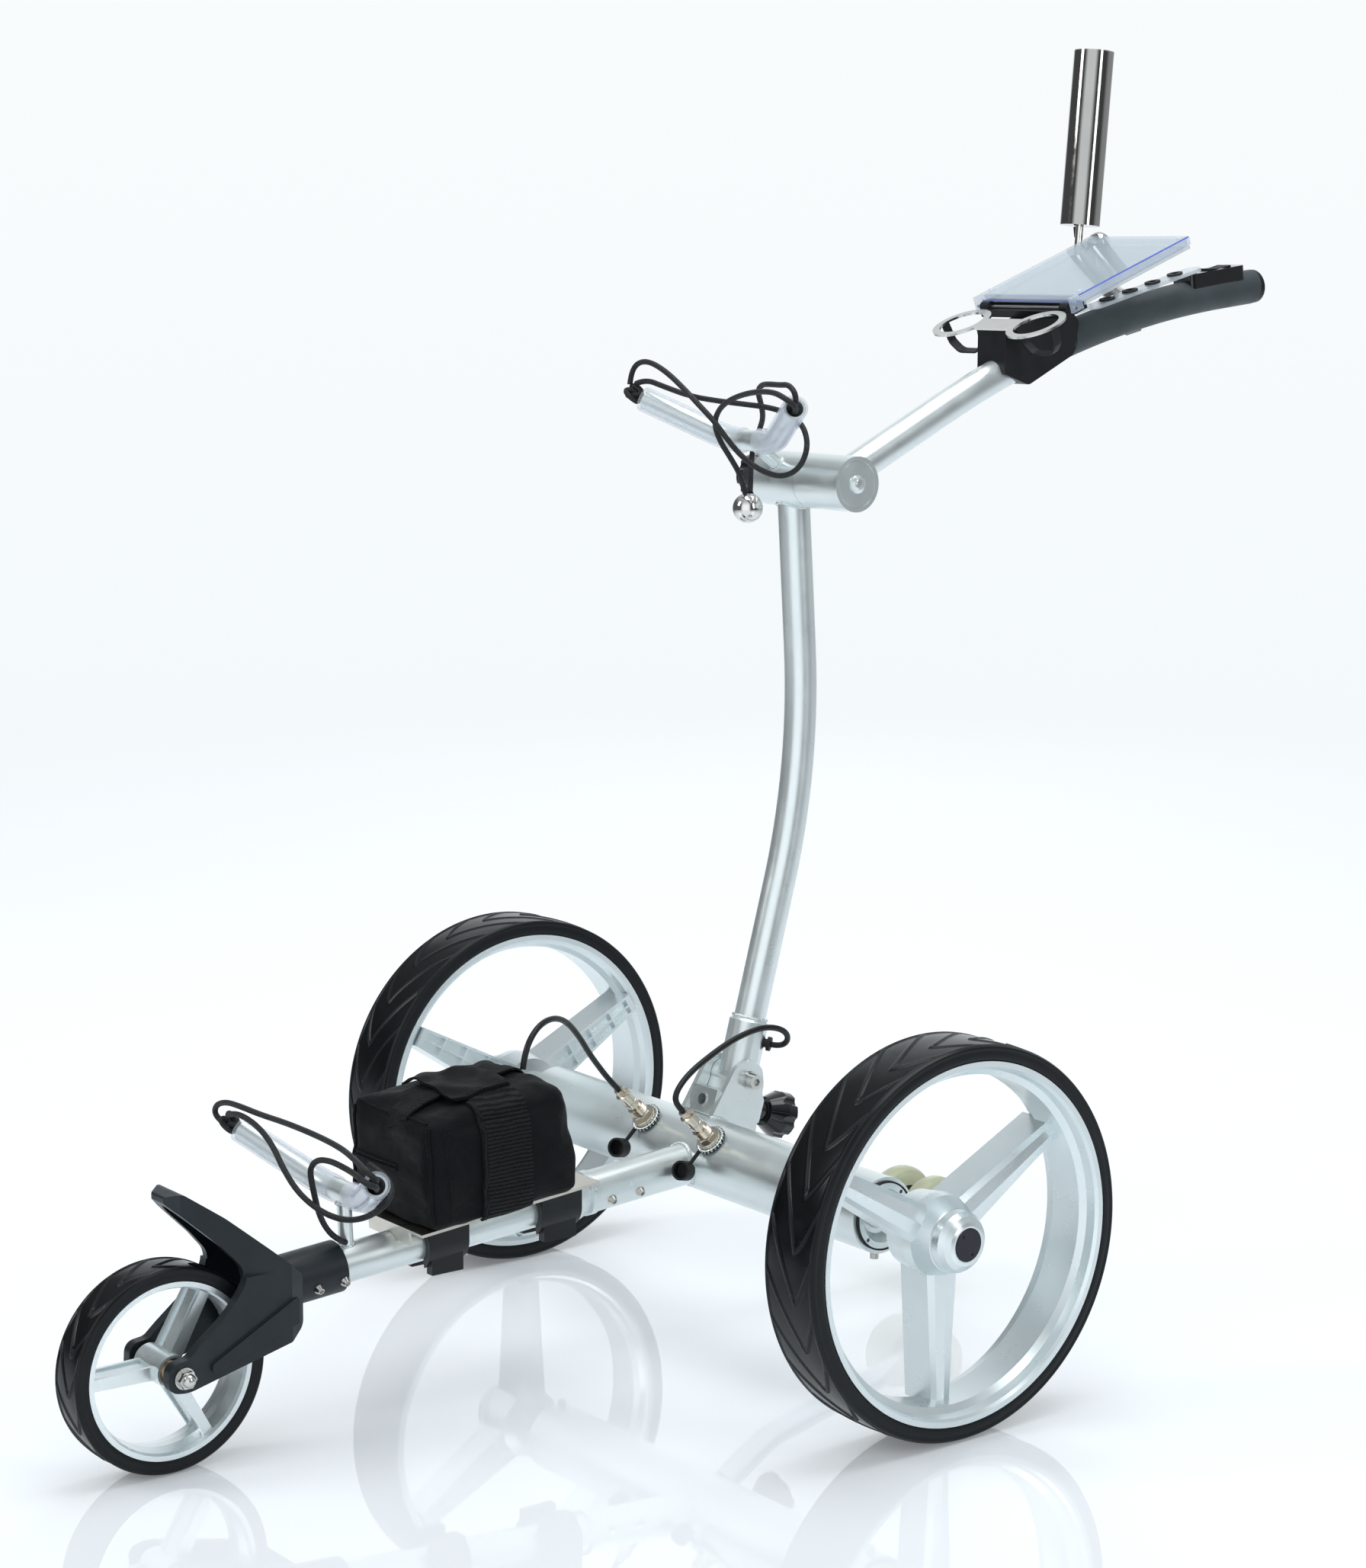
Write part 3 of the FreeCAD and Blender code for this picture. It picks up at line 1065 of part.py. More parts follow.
NODES = {
    "axle_tube": axle_tube,
    "drive_units": drive_units,
    "connector_sockets": lambda: group(connector_sockets().Solids + dust_caps().Solids),
    "connector_plugs": connector_plugs,
    "stub_tube": lambda: group([stub_tube(), stub_bush()]),
    "front_tube": front_tube,
    "frame_screws": frame_screws,
    "front_fork": front_fork,
    "front_axle": front_axle,
    "front_rim": front_rim,
    "front_tyre": front_tyre,
    "front_bearings": front_bearings,
    "lower_cradle": lower_cradle,
    "tray_clamps": tray_clamps,
    "battery_tray": battery_tray,
    "battery_bag": battery_bag,
    "bag_lid": bag_lid,
    "battery_pack": battery_pack,
    "tail_tube": tail_tube,
    "tail_wheel_right": tail_wheel,
    "tail_wheel_left": lambda: mirrored(tail_wheel()),
    "rear_rim_right": rear_rim,
    "rear_rim_left": lambda: mirrored(rear_rim()),
    "rear_tyre_right": rear_tyre,
    "rear_tyre_left": lambda: mirrored(rear_tyre()),
    "rear_shaft_right": lambda: group([rear_shaft(), hub_cap()]),
    "rear_shaft_left": lambda: mirrored(group([rear_shaft(), hub_cap()])),
    "hinge_bracket": lambda: group(hinge_cheeks().Solids + clamp_block().Solids),
    "pivot_bolt": pivot_bolt,
    "upright_tube": upright_tube,
    "upright_foot": upright_foot,
    "cable_grommet": cable_grommet,
    "base_knob": base_knob,
    "post_barrel": post_barrel,
    "handle_barrel": handle_barrel,
    "top_knob": top_knob,
    "upper_cradle": upper_cradle,
    "handle_tube": handle_tube,
    "grip": grip,
    "handle_clamp": handle_clamp,
    "ring_plate": lambda: group([ring_plate()] + ring_loops().Solids),
    "card_base": card_base,
    "card_lid": card_lid,
    "tee_strip": tee_strip,
    "control_module": control_module,
    "power_button": power_button,
    "speed_rocker": speed_rocker,
    "umbrella_holder": umbrella_holder,
    "umbrella_tube": umbrella_tube,
    "lower_knot": lambda: cord_knot(LOWER),
    "upper_knot": lambda: cord_knot(UPPER),
    "cord_ball": cord_ball,
    "lower_loop": lambda: cord("lower_loop", LOWER_LOOP, SHOCK_D),
    "lower_strand": lambda: cord("lower_strand", LOWER_STRAND, SHOCK_D),
    "lower_hook": lambda: cord("lower_hook", LOWER_HOOK, SHOCK_D),
    "upper_loop": lambda: cord("upper_loop", UPPER_LOOP, SHOCK_D),
    "ball_cord_front": lambda: cord("ball_cord_front", BALL_FRONT, SHOCK_D),
    "ball_cord_back": lambda: cord("ball_cord_back", BALL_BACK, SHOCK_D),
    "battery_cable": lambda: cord("battery_cable", BATTERY_CABLE, CABLE_D),
    "control_cable": lambda: cord("control_cable", CONTROL_CABLE, CABLE_D),
}

os.makedirs("parts", exist_ok=True)
for name, make in NODES.items():
    shape = make()
    print(name, "solids", len(shape.Solids), "valid", shape.isValid(), "volume", round(shape.Volume))
    shape.exportStep(f"parts/{name}.step")
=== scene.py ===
import json
import math

import bmesh
import bpy
import numpy as np
from mathutils import Matrix, Vector, noise
from mathutils.bvhtree import BVHTree


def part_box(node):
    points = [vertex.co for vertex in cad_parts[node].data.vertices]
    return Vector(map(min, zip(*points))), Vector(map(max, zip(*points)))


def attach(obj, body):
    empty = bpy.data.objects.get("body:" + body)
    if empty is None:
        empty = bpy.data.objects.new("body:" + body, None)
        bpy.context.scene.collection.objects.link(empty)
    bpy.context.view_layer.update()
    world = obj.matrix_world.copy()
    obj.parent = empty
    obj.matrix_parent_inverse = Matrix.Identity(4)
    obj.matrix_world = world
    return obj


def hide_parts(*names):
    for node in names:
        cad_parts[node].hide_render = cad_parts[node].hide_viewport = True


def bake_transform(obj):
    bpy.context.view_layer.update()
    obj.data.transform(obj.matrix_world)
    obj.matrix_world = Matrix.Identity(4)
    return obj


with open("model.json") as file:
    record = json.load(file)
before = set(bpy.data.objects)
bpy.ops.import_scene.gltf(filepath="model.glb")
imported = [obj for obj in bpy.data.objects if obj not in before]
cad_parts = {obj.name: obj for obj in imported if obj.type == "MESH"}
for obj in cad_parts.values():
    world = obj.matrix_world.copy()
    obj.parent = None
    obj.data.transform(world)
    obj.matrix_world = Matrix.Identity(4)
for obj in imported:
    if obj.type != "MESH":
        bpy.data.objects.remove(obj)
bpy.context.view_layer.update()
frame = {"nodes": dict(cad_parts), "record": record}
nodes = frame["nodes"]
body_of = {n: b for b, members in frame["record"]["behaviour"]["bodies"].items() for n in members}
slot_of = {s["node"]: s["material_slot"] for s in frame["record"]["subparts"]}
MM = 0.001
X, Y, Z = Vector((1, 0, 0)), Vector((0, 1, 0)), Vector((0, 0, 1))


def mm(x, y, z):
    return Vector((x, y, z)) * MM


# ---------------------------------------------------------------- camera

CAMERA_AT = (2.1428, -1.6798, 0.918)
LENS_MM = 75.0
view_turn, view_rise, view_roll = (math.radians(d) for d in (52.389, 9.094, 0.184))
back = Vector((math.sin(view_turn) * math.cos(view_rise), -math.cos(view_turn) * math.cos(view_rise),
               math.sin(view_rise)))
right = Vector((math.cos(view_turn), math.sin(view_turn), 0))
camera_axes = Matrix((right, back.cross(right), back)).transposed().to_4x4()
camera = bpy.data.objects.new("camera", bpy.data.cameras.new("camera"))
camera.data.lens = LENS_MM
camera.data.sensor_width = 36.0
camera.data.clip_end = 60.0
camera.matrix_world = Matrix.Translation(CAMERA_AT) @ camera_axes @ Matrix.Rotation(view_roll, 4, "Z")
bpy.context.scene.collection.objects.link(camera)
bpy.context.scene.camera = camera


# ---------------------------------------------------------------- materials

# metres between the crests of a wave texture whose scale is 1
WAVE_PERIOD = 0.314


def new_node(tree, kind, **values):
    """Each value goes to the input of that name, or to the node's own setting."""
    made = tree.nodes.new("ShaderNode" + kind)
    for key, value in values.items():
        socket = key.replace("_", " ")
        if socket in made.inputs:
            made.inputs[socket].default_value = value
        else:
            setattr(made, key, value)
    return made


def join(tree, *pairs):
    for a, b in pairs:
        tree.links.new(a, b)


class Shader:
    """A Principled material that is built up from small procedural layers."""

    def __init__(self, name, color, metal=0.0, rough=0.5, **more):
        self.mat = bpy.data.materials.new(name)
        self.mat.use_nodes = True
        self.tree = self.mat.node_tree
        self.bsdf = self.tree.nodes["Principled BSDF"]
        self.color = (*color, 1.0)
        self.bsdf.inputs["Base Color"].default_value = self.color
        self.bsdf.inputs["Metallic"].default_value = metal
        self.bsdf.inputs["Roughness"].default_value = rough
        for socket, value in more.items():
            self.bsdf.inputs[socket.replace("_", " ")].default_value = value
        self.normal = None
        self.coords = self.tree.nodes.new("ShaderNodeTexCoord").outputs["Object"]

    def node(self, kind, **values):
        return new_node(self.tree, kind, **values)

    def link(self, a, b):
        self.tree.links.new(a, b)

    def stretched(self, scale=(1, 1, 1), turn=(0, 0, 0)):
        mapping = self.node("Mapping", Scale=scale, Rotation=turn)
        self.link(self.coords, mapping.inputs["Vector"])
        return mapping.outputs["Vector"]

    def noise(self, scale, detail=3.0, vector=None):
        made = self.node("TexNoise", Scale=scale, Detail=detail)
        self.link(vector or self.coords, made.inputs["Vector"])
        return made.outputs["Fac"]

    def threads(self, pitch, turn, **more):
        """Parallel ridges, pitch apart in metres, turned by three angles."""
        wave = self.node("TexWave", Scale=WAVE_PERIOD / pitch, **more)
        self.link(self.stretched(turn=turn), wave.inputs["Vector"])
        return wave.outputs["Fac"]

    def both(self, operation, a, b):
        made = self.node("Math", operation=operation)
        self.link(a, made.inputs[0])
        self.link(b, made.inputs[1])
        return made.outputs[0]

    def ramp(self, value, low, high, a=0.0, b=1.0):
        made = self.node("MapRange", From_Min=low, From_Max=high, To_Min=a, To_Max=b)
        self.link(value, made.inputs["Value"])
        return made.outputs["Result"]

    def tint(self, factor, color):
        """Mixes another colour over the present one where factor is high."""
        mix = self.node("Mix", data_type="RGBA")
        self.link(factor, mix.inputs[0])
        old = self.bsdf.inputs["Base Color"]
        if old.is_linked:
            self.link(old.links[0].from_socket, mix.inputs[6])
        else:
            mix.inputs[6].default_value = self.color
        mix.inputs[7].default_value = (*color, 1.0)
        self.link(mix.outputs[2], old)

    def roughness(self, factor, low, high):
        self.link(self.ramp(factor, 0.3, 0.7, low, high), self.bsdf.inputs["Roughness"])

    def bump(self, height, strength, distance=0.0004):
        made = self.node("Bump", Strength=strength, Distance=distance)
        self.link(height, made.inputs["Height"])
        if self.normal:
            self.link(self.normal, made.inputs["Normal"])
        self.normal = made.outputs["Normal"]
        self.link(self.normal, self.bsdf.inputs["Normal"])

    def soft_edges(self, radius):
        self.normal = self.node("Bevel", samples=4, Radius=radius).outputs["Normal"]
        self.link(self.normal, self.bsdf.inputs["Normal"])

    def worn_edges(self, radius, color, amount):
        """Another colour where the surface turns sharply."""
        bevel = self.node("Bevel", samples=4, Radius=radius)
        plain = self.node("NewGeometry")
        dot = self.node("VectorMath", operation="DOT_PRODUCT")
        self.link(bevel.outputs["Normal"], dot.inputs[0])
        self.link(plain.outputs["Normal"], dot.inputs[1])
        self.tint(self.ramp(dot.outputs["Value"], 0.98, 0.80, 0.0, amount), color)


def scaled(color, factor, lift=0.0):
    return tuple(c * factor + lift for c in color)


def silver(name, color, rough, grain):
    """Silver lacquer: fine flake, slow clouding and a light orange peel."""
    s = Shader(name, color, 0.80, rough)
    s.tint(s.ramp(s.noise(26.0, 4.0), 0.35, 0.7, 0.0, 0.22), scaled(color, 0.86))
    s.tint(s.ramp(s.noise(1500.0, 1.0), 0.55, 0.75, 0.0, 0.10), (0.93, 0.95, 0.97))
    s.tint(s.ramp(s.noise(7.0, 3.0), 0.50, 0.75, 0.0, 0.10), (0.80, 0.82, 0.82))
    s.roughness(s.noise(48.0, 4.0), rough - 0.03, rough + 0.05)
    s.bump(s.noise(150.0, 2.0), grain, 0.00008)
    return s.mat


def moulded(name, color, rough, grain, scale=900.0, **more):
    """Moulded plastic or rubber: fine grain, clouding and paler worn edges."""
    s = Shader(name, color, 0.0, rough, Specular_IOR_Level=0.4, **more)
    s.soft_edges(0.0007)
    s.tint(s.ramp(s.noise(22.0, 5.0), 0.4, 0.72, 0.0, 0.5), scaled(color, 1.6, 0.002))
    s.worn_edges(0.0012, scaled(color, 2.6, 0.006), 0.5)
    s.roughness(s.noise(60.0, 4.0), rough - 0.06, rough + 0.08)
    s.bump(s.noise(scale, 3.0), grain, 0.0003)
    return s.mat


def polished(name, color, rough, scratch=0.02, along=(1, 1, 1)):
    """Bright metal with hairline scratches, drawn out along the axis whose scale is small."""
    s = Shader(name, color, 1.0, rough)
    s.tint(s.ramp(s.noise(30.0, 4.0), 0.4, 0.75, 0.0, 0.35), scaled(color, 0.8))
    s.roughness(s.noise(90.0, 5.0), max(rough - 0.03, 0.02), rough + 0.06)
    s.bump(s.noise(700.0, 3.0, s.stretched(along)), scratch, 0.00008)
    return s.mat


def woven(name, color, pitch, strength, rough=0.72):
    """Plain weave of crossing sets of threads, with slow creases and a little lint."""
    s = Shader(name, color, 0.0, rough, Sheen_Weight=0.012, Sheen_Roughness=0.5, Specular_IOR_Level=0.13)
    quarter = math.pi / 2
    sets = [s.threads(pitch, turn, Distortion=0.6, Detail_Scale=6.0)
            for turn in ((0, 0, 0), (0, quarter, 0), (0, 0, quarter))]
    weave = s.both("ADD", s.both("MULTIPLY", sets[0], sets[1]), sets[2])
    s.tint(s.ramp(weave, 0.2, 1.6, 0.0, 0.5), scaled(color, 2.0, 0.002))
    s.tint(s.ramp(s.noise(14.0, 5.0), 0.45, 0.75, 0.0, 0.5), scaled(color, 1.9, 0.002))
    s.roughness(s.noise(35.0, 4.0), rough - 0.12, rough + 0.08)
    s.bump(s.noise(45.0, 4.0), 0.35, 0.0018)
    s.bump(weave, strength, 0.0003)
    return s.mat


def ribbed(name, color, pitch, turn, strength=0.8, crest_highlight=0.004):
    """Webbing or hook tape: close ribs with painted highlights on their crests, and fuzz between them."""
    s = Shader(name, color, 0.0, 0.7, Sheen_Weight=0.02, Specular_IOR_Level=0.13)
    ribs = s.threads(pitch, turn, Distortion=2.2, Detail=3.0, Detail_Scale=3.0)
    # painted highlight: the rib crests are drawn lighter, standing in for the light they catch
    s.tint(s.ramp(ribs, 0.1, 1.0, 0.0, 0.6), scaled(color, 2.4, crest_highlight))
    s.tint(s.ramp(s.noise(1900.0, 2.0), 0.66, 0.74, 0.0, 0.6), (0.04, 0.045, 0.05))
    s.bump(s.noise(1300.0, 3.0), 0.6, 0.0004)
    s.bump(ribs, strength, 0.0008)
    return s.mat


def braided(name, color, pitch):
    """Braided sheath: two sets of strands that cross on the slant."""
    s = Shader(name, color, 0.0, 0.55, Sheen_Weight=0.05, Specular_IOR_Level=0.4)
    strands = s.both("MAXIMUM", *(s.threads(pitch, (turn, 0.3, turn)) for turn in (0.8, -0.8)))
    s.tint(s.ramp(strands, 0.3, 1.0, 0.0, 0.6), scaled(color, 2.2, 0.003))
    s.roughness(s.noise(80.0, 3.0), 0.45, 0.68)
    s.bump(strands, 0.7, 0.0004)
    return s.mat


def clear(name, color, see_through, rough=0.06, edge=None):
    """Thin clear plastic: mostly see-through face on, denser and tinted where it is seen along."""
    s = Shader(name, color, 0.0, rough, Specular_IOR_Level=0.7, Coat_Weight=0.4, Coat_Roughness=0.03)
    facing = s.node("LayerWeight", Blend=0.4).outputs["Facing"]
    s.link(s.ramp(facing, 0.1, 0.95, 1.0 - see_through, 1.0 - see_through * 0.45), s.bsdf.inputs["Alpha"])
    if edge:
        s.tint(s.ramp(facing, 0.45, 0.95, 0.0, 0.85), edge)
    s.tint(s.ramp(s.noise(34.0, 4.0), 0.45, 0.8, 0.0, 0.3), scaled(color, 0.85))
    s.roughness(s.noise(60.0, 4.0), rough, rough + 0.06)
    s.bump(s.noise(25.0, 2.0), 0.03, 0.0004)
    return s.mat


def cast_urethane(name, color, darker):
    """Slightly translucent wheel plastic."""
    s = Shader(name, color, 0.0, 0.32, Transmission_Weight=0.35, IOR=1.4)
    s.tint(s.ramp(s.noise(60.0, 4.0), 0.4, 0.7, 0.0, 0.5), darker)
    s.bump(s.noise(240.0, 3.0), 0.15, 0.0005)
    return s.mat


def tread_rubber(name):
    """Moulded rubber: glossy leaf panels, satin ribs and side walls, and faint patches of dust."""
    s = Shader(name, (0.0030, 0.0036, 0.0045), 0.0, 0.4, Specular_IOR_Level=0.24)
    relief = s.node("Attribute", attribute_name="relief")
    s.tint(s.ramp(relief.outputs["Fac"], 0.2, 1.0, 0.0, 1.0), (0.007, 0.009, 0.011))
    s.tint(s.ramp(s.noise(30.0, 5.0), 0.5, 0.8, 0.0, 0.35), (0.016, 0.019, 0.022))
    s.link(s.ramp(relief.outputs["Fac"], 0.0, 1.0, 0.22, 0.46), s.bsdf.inputs["Roughness"])
    s.bump(s.noise(750.0, 3.0), 0.08, 0.0003)
    s.bump(s.noise(90.0, 2.0), 0.06, 0.0008)
    return s.mat


frame_silver = silver("frame_silver", (0.78, 0.845, 0.85), 0.30, 0.10)
wheel_silver = silver("wheel_silver", (0.77, 0.84, 0.855), 0.29, 0.06)
cast_silver = silver("cast_silver", (0.72, 0.78, 0.78), 0.24, 0.22)
fork_black = moulded("fork_black", (0.007, 0.012, 0.017), 0.42, 0.22)
clamp_black = moulded("clamp_black", (0.005, 0.006, 0.008), 0.40, 0.16)
gloss_black = moulded("gloss_black", (0.003, 0.003, 0.004), 0.12, 0.03, Coat_Weight=0.5)
soft_black = moulded("soft_black", (0.004, 0.005, 0.006), 0.55, 0.2)
case_black = moulded("case_black", (0.005, 0.006, 0.008), 0.30, 0.10)
disc_black = moulded("disc_black", (0.010, 0.011, 0.019), 0.38, 0.08)
key_grey = moulded("key_grey", (0.26, 0.27, 0.28), 0.45, 0.10)
pack_grey = moulded("pack_grey", (0.04, 0.04, 0.05), 0.5, 0.10)
stainless = polished("stainless", (0.62, 0.62, 0.60), 0.20, 0.06)
screw_steel = polished("screw_steel", (0.55, 0.54, 0.51), 0.22, 0.08)
chrome = polished("chrome", (0.74, 0.73, 0.71), 0.06, 0.02)
tube_polish = polished("tube_polish", (0.42, 0.41, 0.40), 0.06, 0.03, (1, 1, 0.02))
ring_steel = polished("ring_steel", (0.66, 0.66, 0.63), 0.18, 0.05)
tray_steel = polished("tray_steel", (0.72, 0.69, 0.62), 0.30, 0.03, (0.05, 1, 1))
champagne = polished("champagne", (0.72, 0.66, 0.56), 0.17, 0.05)
bronze = polished("bronze", (0.60, 0.51, 0.38), 0.22, 0.06)
nylon = woven("nylon", (0.0022, 0.0028, 0.0038), 0.0011, 0.5, 0.62)
# the last number of webbing and hook tape sets how much their rib crests are lightened as painted highlight
webbing = ribbed("webbing", (0.0025, 0.003, 0.004), 0.0022, (0, 0, math.pi / 4), 0.8, 0.014)
hook_tape = ribbed("hook_tape", (0.0012, 0.0014, 0.002), 0.0032, (0, math.pi / 2, 0), 1.0, 0.022)
cord_black = braided("cord_black", (0.005, 0.0058, 0.007), 0.0016)
cable_black = moulded("cable_black", (0.003, 0.0034, 0.004), 0.35, 0.05)
sleeve_clear = clear("sleeve_clear", (0.80, 0.85, 0.90), 0.86, 0.08, (0.55, 0.60, 0.88))
lid_clear = clear("lid_clear", (0.47, 0.56, 0.62), 0.76, 0.03)
lid_edge = clear("lid_edge", (0.62, 0.72, 0.86), 0.74, 0.05, (0.36, 0.46, 0.82))
lid_line = clear("lid_line", (0.10, 0.16, 0.72), 0.15, 0.06, (0.05, 0.08, 0.55))
strip_clear = clear("strip_clear", (0.66, 0.72, 0.76), 0.55, 0.06, (0.50, 0.55, 0.62))
tyre_black = tread_rubber("tyre_black")
grip_grey = moulded("grip_grey", (0.040, 0.052, 0.058), 0.5, 0.45, 1300.0)
skate = cast_urethane("skate", (0.66, 0.69, 0.50), (0.55, 0.58, 0.40))


# ---------------------------------------------------------------- mesh tools

def add(name, mesh, body, material, *replaced, slot=None):
    piece = bpy.data.objects.new(name, mesh)
    bpy.context.scene.collection.objects.link(piece)
    if material:
        mesh.materials.append(material)
    if body:
        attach(piece, body)
    if replaced:
        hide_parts(*replaced)
    return piece


def smooth(mesh, angle=35.0):
    mesh.polygons.foreach_set("use_smooth", [True] * len(mesh.polygons))
    mesh.set_sharp_from_angle(angle=math.radians(angle))
    return mesh


def grid_mesh(name, points, wrap_u, wrap_v, angle=35.0):
    """Mesh over a grid of points, rows first, closed where asked."""
    rows, columns = points.shape[:2]
    faces = []
    for i in range(rows if wrap_u else rows - 1):
        for j in range(columns if wrap_v else columns - 1):
            a, b = (i + 1) % rows, (j + 1) % columns
            faces.append((i * columns + j, a * columns + j, a * columns + b, i * columns + b))
    mesh = bpy.data.meshes.new(name)
    mesh.from_pydata(points.reshape(-1, 3).tolist(), [], faces)
    return smooth(mesh, angle)


def circle(centre, u, v, radius, count):
    """Points round a circle that lies along the two unit vectors u and v."""
    angles = [2 * math.pi * k / count for k in range(count)]
    return [centre + (u * math.cos(a) + v * math.sin(a)) * radius for a in angles]


def sweep(name, path, radius, closed, sides=10, ripple=0.0, beads=0):
    """Round tube along points; ripple makes the lapped scales of a weld bead."""
    path = [Vector(p) for p in path]
    count = len(path)
    middle = sum(path, Vector()) / count
    rings = []
    for i, p in enumerate(path):
        before = path[(i - 1) % count if closed else max(i - 1, 0)]
        after = path[(i + 1) % count if closed else min(i + 1, count - 1)]
        tangent = (after - before).normalized()
        out = p - middle
        out = (out - tangent * out.dot(tangent)).normalized()
        phase = (i * beads / count) % 1.0 if beads else 0.0
        size = radius * (1.0 - ripple * phase + 0.12 * ripple * math.sin(i * 1.7))
        if not closed and i in (0, count - 1):
            size *= 0.3
        rings.append(circle(p, out, tangent.cross(out), size, sides))
    return grid_mesh(name, np.array(rings), closed, True, 60)


def turned(name, profile, origin, axis, segments=48):
    """Solid of revolution: (distance along the axis, radius) pairs in mm."""
    rotation = Z.rotation_difference(Vector(axis))
    rings = [circle(Vector(origin) + rotation @ Z * z * MM, rotation @ X, rotation @ Y, r * MM, segments)
             for z, r in profile]
    return grid_mesh(name, np.array(rings), False, True)


def even_tube(path, radius, sides):
    """Rings of a round tube, with frames carried along the path, so it never twists or pinches."""
    last = len(path) - 1
    tangents = [(path[min(i + 1, last)] - path[max(i - 1, 0)]).normalized() for i in range(last + 1)]
    side = tangents[0].orthogonal().normalized()
    rings = []
    for p, t in zip(path, tangents):
        side = (side - t * side.dot(t)).normalized()
        rings.append(circle(p, side, t.cross(side), radius, sides))
    return np.array([[path[0]] * sides, *rings, [path[-1]] * sides])


def rod(name, path, radius, sides):
    """Closed round rod along a path; radius in mm."""
    return grid_mesh(name, even_tube(path, radius * MM, sides), False, True, 70)


def split(node, key_of):
    """Copies a CAD node's separate solids into pieces, one for each key."""
    source = nodes[node].data
    bm = bmesh.new()
    bm.from_mesh(source)
    bmesh.ops.remove_doubles(bm, verts=bm.verts, dist=1e-6)
    bm.verts.ensure_lookup_table()
    seen, groups = set(), {}
    for first in bm.verts:
        if first.index in seen:
            continue
        stack, island = [first], []
        seen.add(first.index)
        while stack:
            v = stack.pop()
            island.append(v)
            for e in v.link_edges:
                other = e.other_vert(v)
                if other.index not in seen:
                    seen.add(other.index)
                    stack.append(other)
        co = np.array([v.co for v in island]) / MM
        groups.setdefault(key_of(co.min(0), co.max(0)), []).extend(island)
    made = {}
    for key, verts in groups.items():
        index = {v.index: i for i, v in enumerate(verts)}
        faces = [[index[v.index] for v in f.verts] for f in bm.faces if f.verts[0].index in index]
        mesh = bpy.data.meshes.new(f"{node}_{key}")
        mesh.from_pydata([v.co[:] for v in verts], [], faces)
        smooth(mesh, 28)
        made[key] = add(f"{node}_{key}", mesh, body_of[node], None, node, slot=slot_of[node])
    bm.free()
    return made


def finish_node(node, material):
    piece = nodes[node]
    if not piece.material_slots:
        piece.data.materials.append(material)
    for slot in piece.material_slots:
        slot.material = material


def by_size(axis, limit, over, under):
    """Names a solid by whether its box is longer than a limit along an axis, in mm."""
    return lambda lo, hi: over if hi[axis] - lo[axis] > limit else under


def finish_parts(node, key_of, **materials):
    """Each solid's key comes from the low and high corners of its box, in mm."""
    for key, piece in split(node, key_of).items():
        piece.data.materials.append(materials[key])


# ---------------------------------------------------------------- places that several pieces share, in mm

AXLE = Vector((0, 0, 160.0))
TOP_BARREL = Vector((0, 106.5, 734.0))
POST_FOOT = Vector((-23.0, 49.6, 218.0))
SOCKET_DIR = Vector((0, -0.7071, 0.7071))
SOCKET_X = {"battery": -58.0, "control": 33.0}


# ---------------------------------------------------------------- cords

SHOCK_D, CABLE_D = 4.8, 5.2
KNOT_OUT = Vector((-0.83, -0.39, 0.40)).normalized()
KNOT_STEPS = 96
KNOT_SCALE, KNOT_CORD = 2.1, 2.4


def cord_curve(name, points):
    """Free cord as a NURBS curve; points are its control points in mm."""
    data = bpy.data.curves.new(name, "CURVE")
    data.dimensions = "3D"
    spline = data.splines.new("NURBS")
    spline.points.add(len(points) - 1)
    for i, p in enumerate(points):
        spline.points[i].co = (p[0] * MM, p[1] * MM, p[2] * MM, 1.0)
    spline.order_u = 3
    spline.use_endpoint_u = True
    spline.resolution_u = 8
    data.resolution_u = 8
    return data


def line_of(data):
    """Points along a curve's own line."""
    bare = bpy.data.objects.new("line", data)
    bpy.context.scene.collection.objects.link(bare)
    mesh = bpy.data.meshes.new_from_object(bare)
    points = [v.co.copy() for v in mesh.vertices]
    bpy.data.objects.remove(bare)
    return points


def add_cord(name, points, diameter, node, material, body):
    """Cord that stands for a CAD node; diameter in mm."""
    data = cord_curve(name, points)
    data.bevel_depth = diameter * MM / 2
    data.bevel_resolution = 4
    data.use_fill_caps = True
    data.materials.append(material)
    piece = bpy.data.objects.new(name, data)
    bpy.context.scene.collection.objects.link(piece)
    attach(piece, body)
    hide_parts(node)
    return piece


def knot(name, node, body):
    """Overhand knot pulled tight: a trefoil of cord round a short straight core."""
    low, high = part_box(node)
    centre = (low + high) / 2
    rotation = Z.rotation_difference(KNOT_OUT)
    path = []
    for k in range(KNOT_STEPS):
        t = 2 * math.pi * k / KNOT_STEPS
        p = Vector((math.sin(t) + 2 * math.sin(2 * t), math.cos(t) - 2 * math.cos(2 * t),
                    -3 * math.sin(3 * t)))
        path.append(centre + rotation @ (p * KNOT_SCALE * MM))
    piece = add(name, sweep(name, path, KNOT_CORD * MM, True), body, cord_black, node, slot="shock_cord")
    stub = [centre + KNOT_OUT * reach * MM for reach in (-11, -5, 0, 4)]
    core = sweep(name + "_core", stub, 3.4 * MM, False, 12)
    add(name + "_core", core, body, cord_black, slot="shock_cord")
    return piece


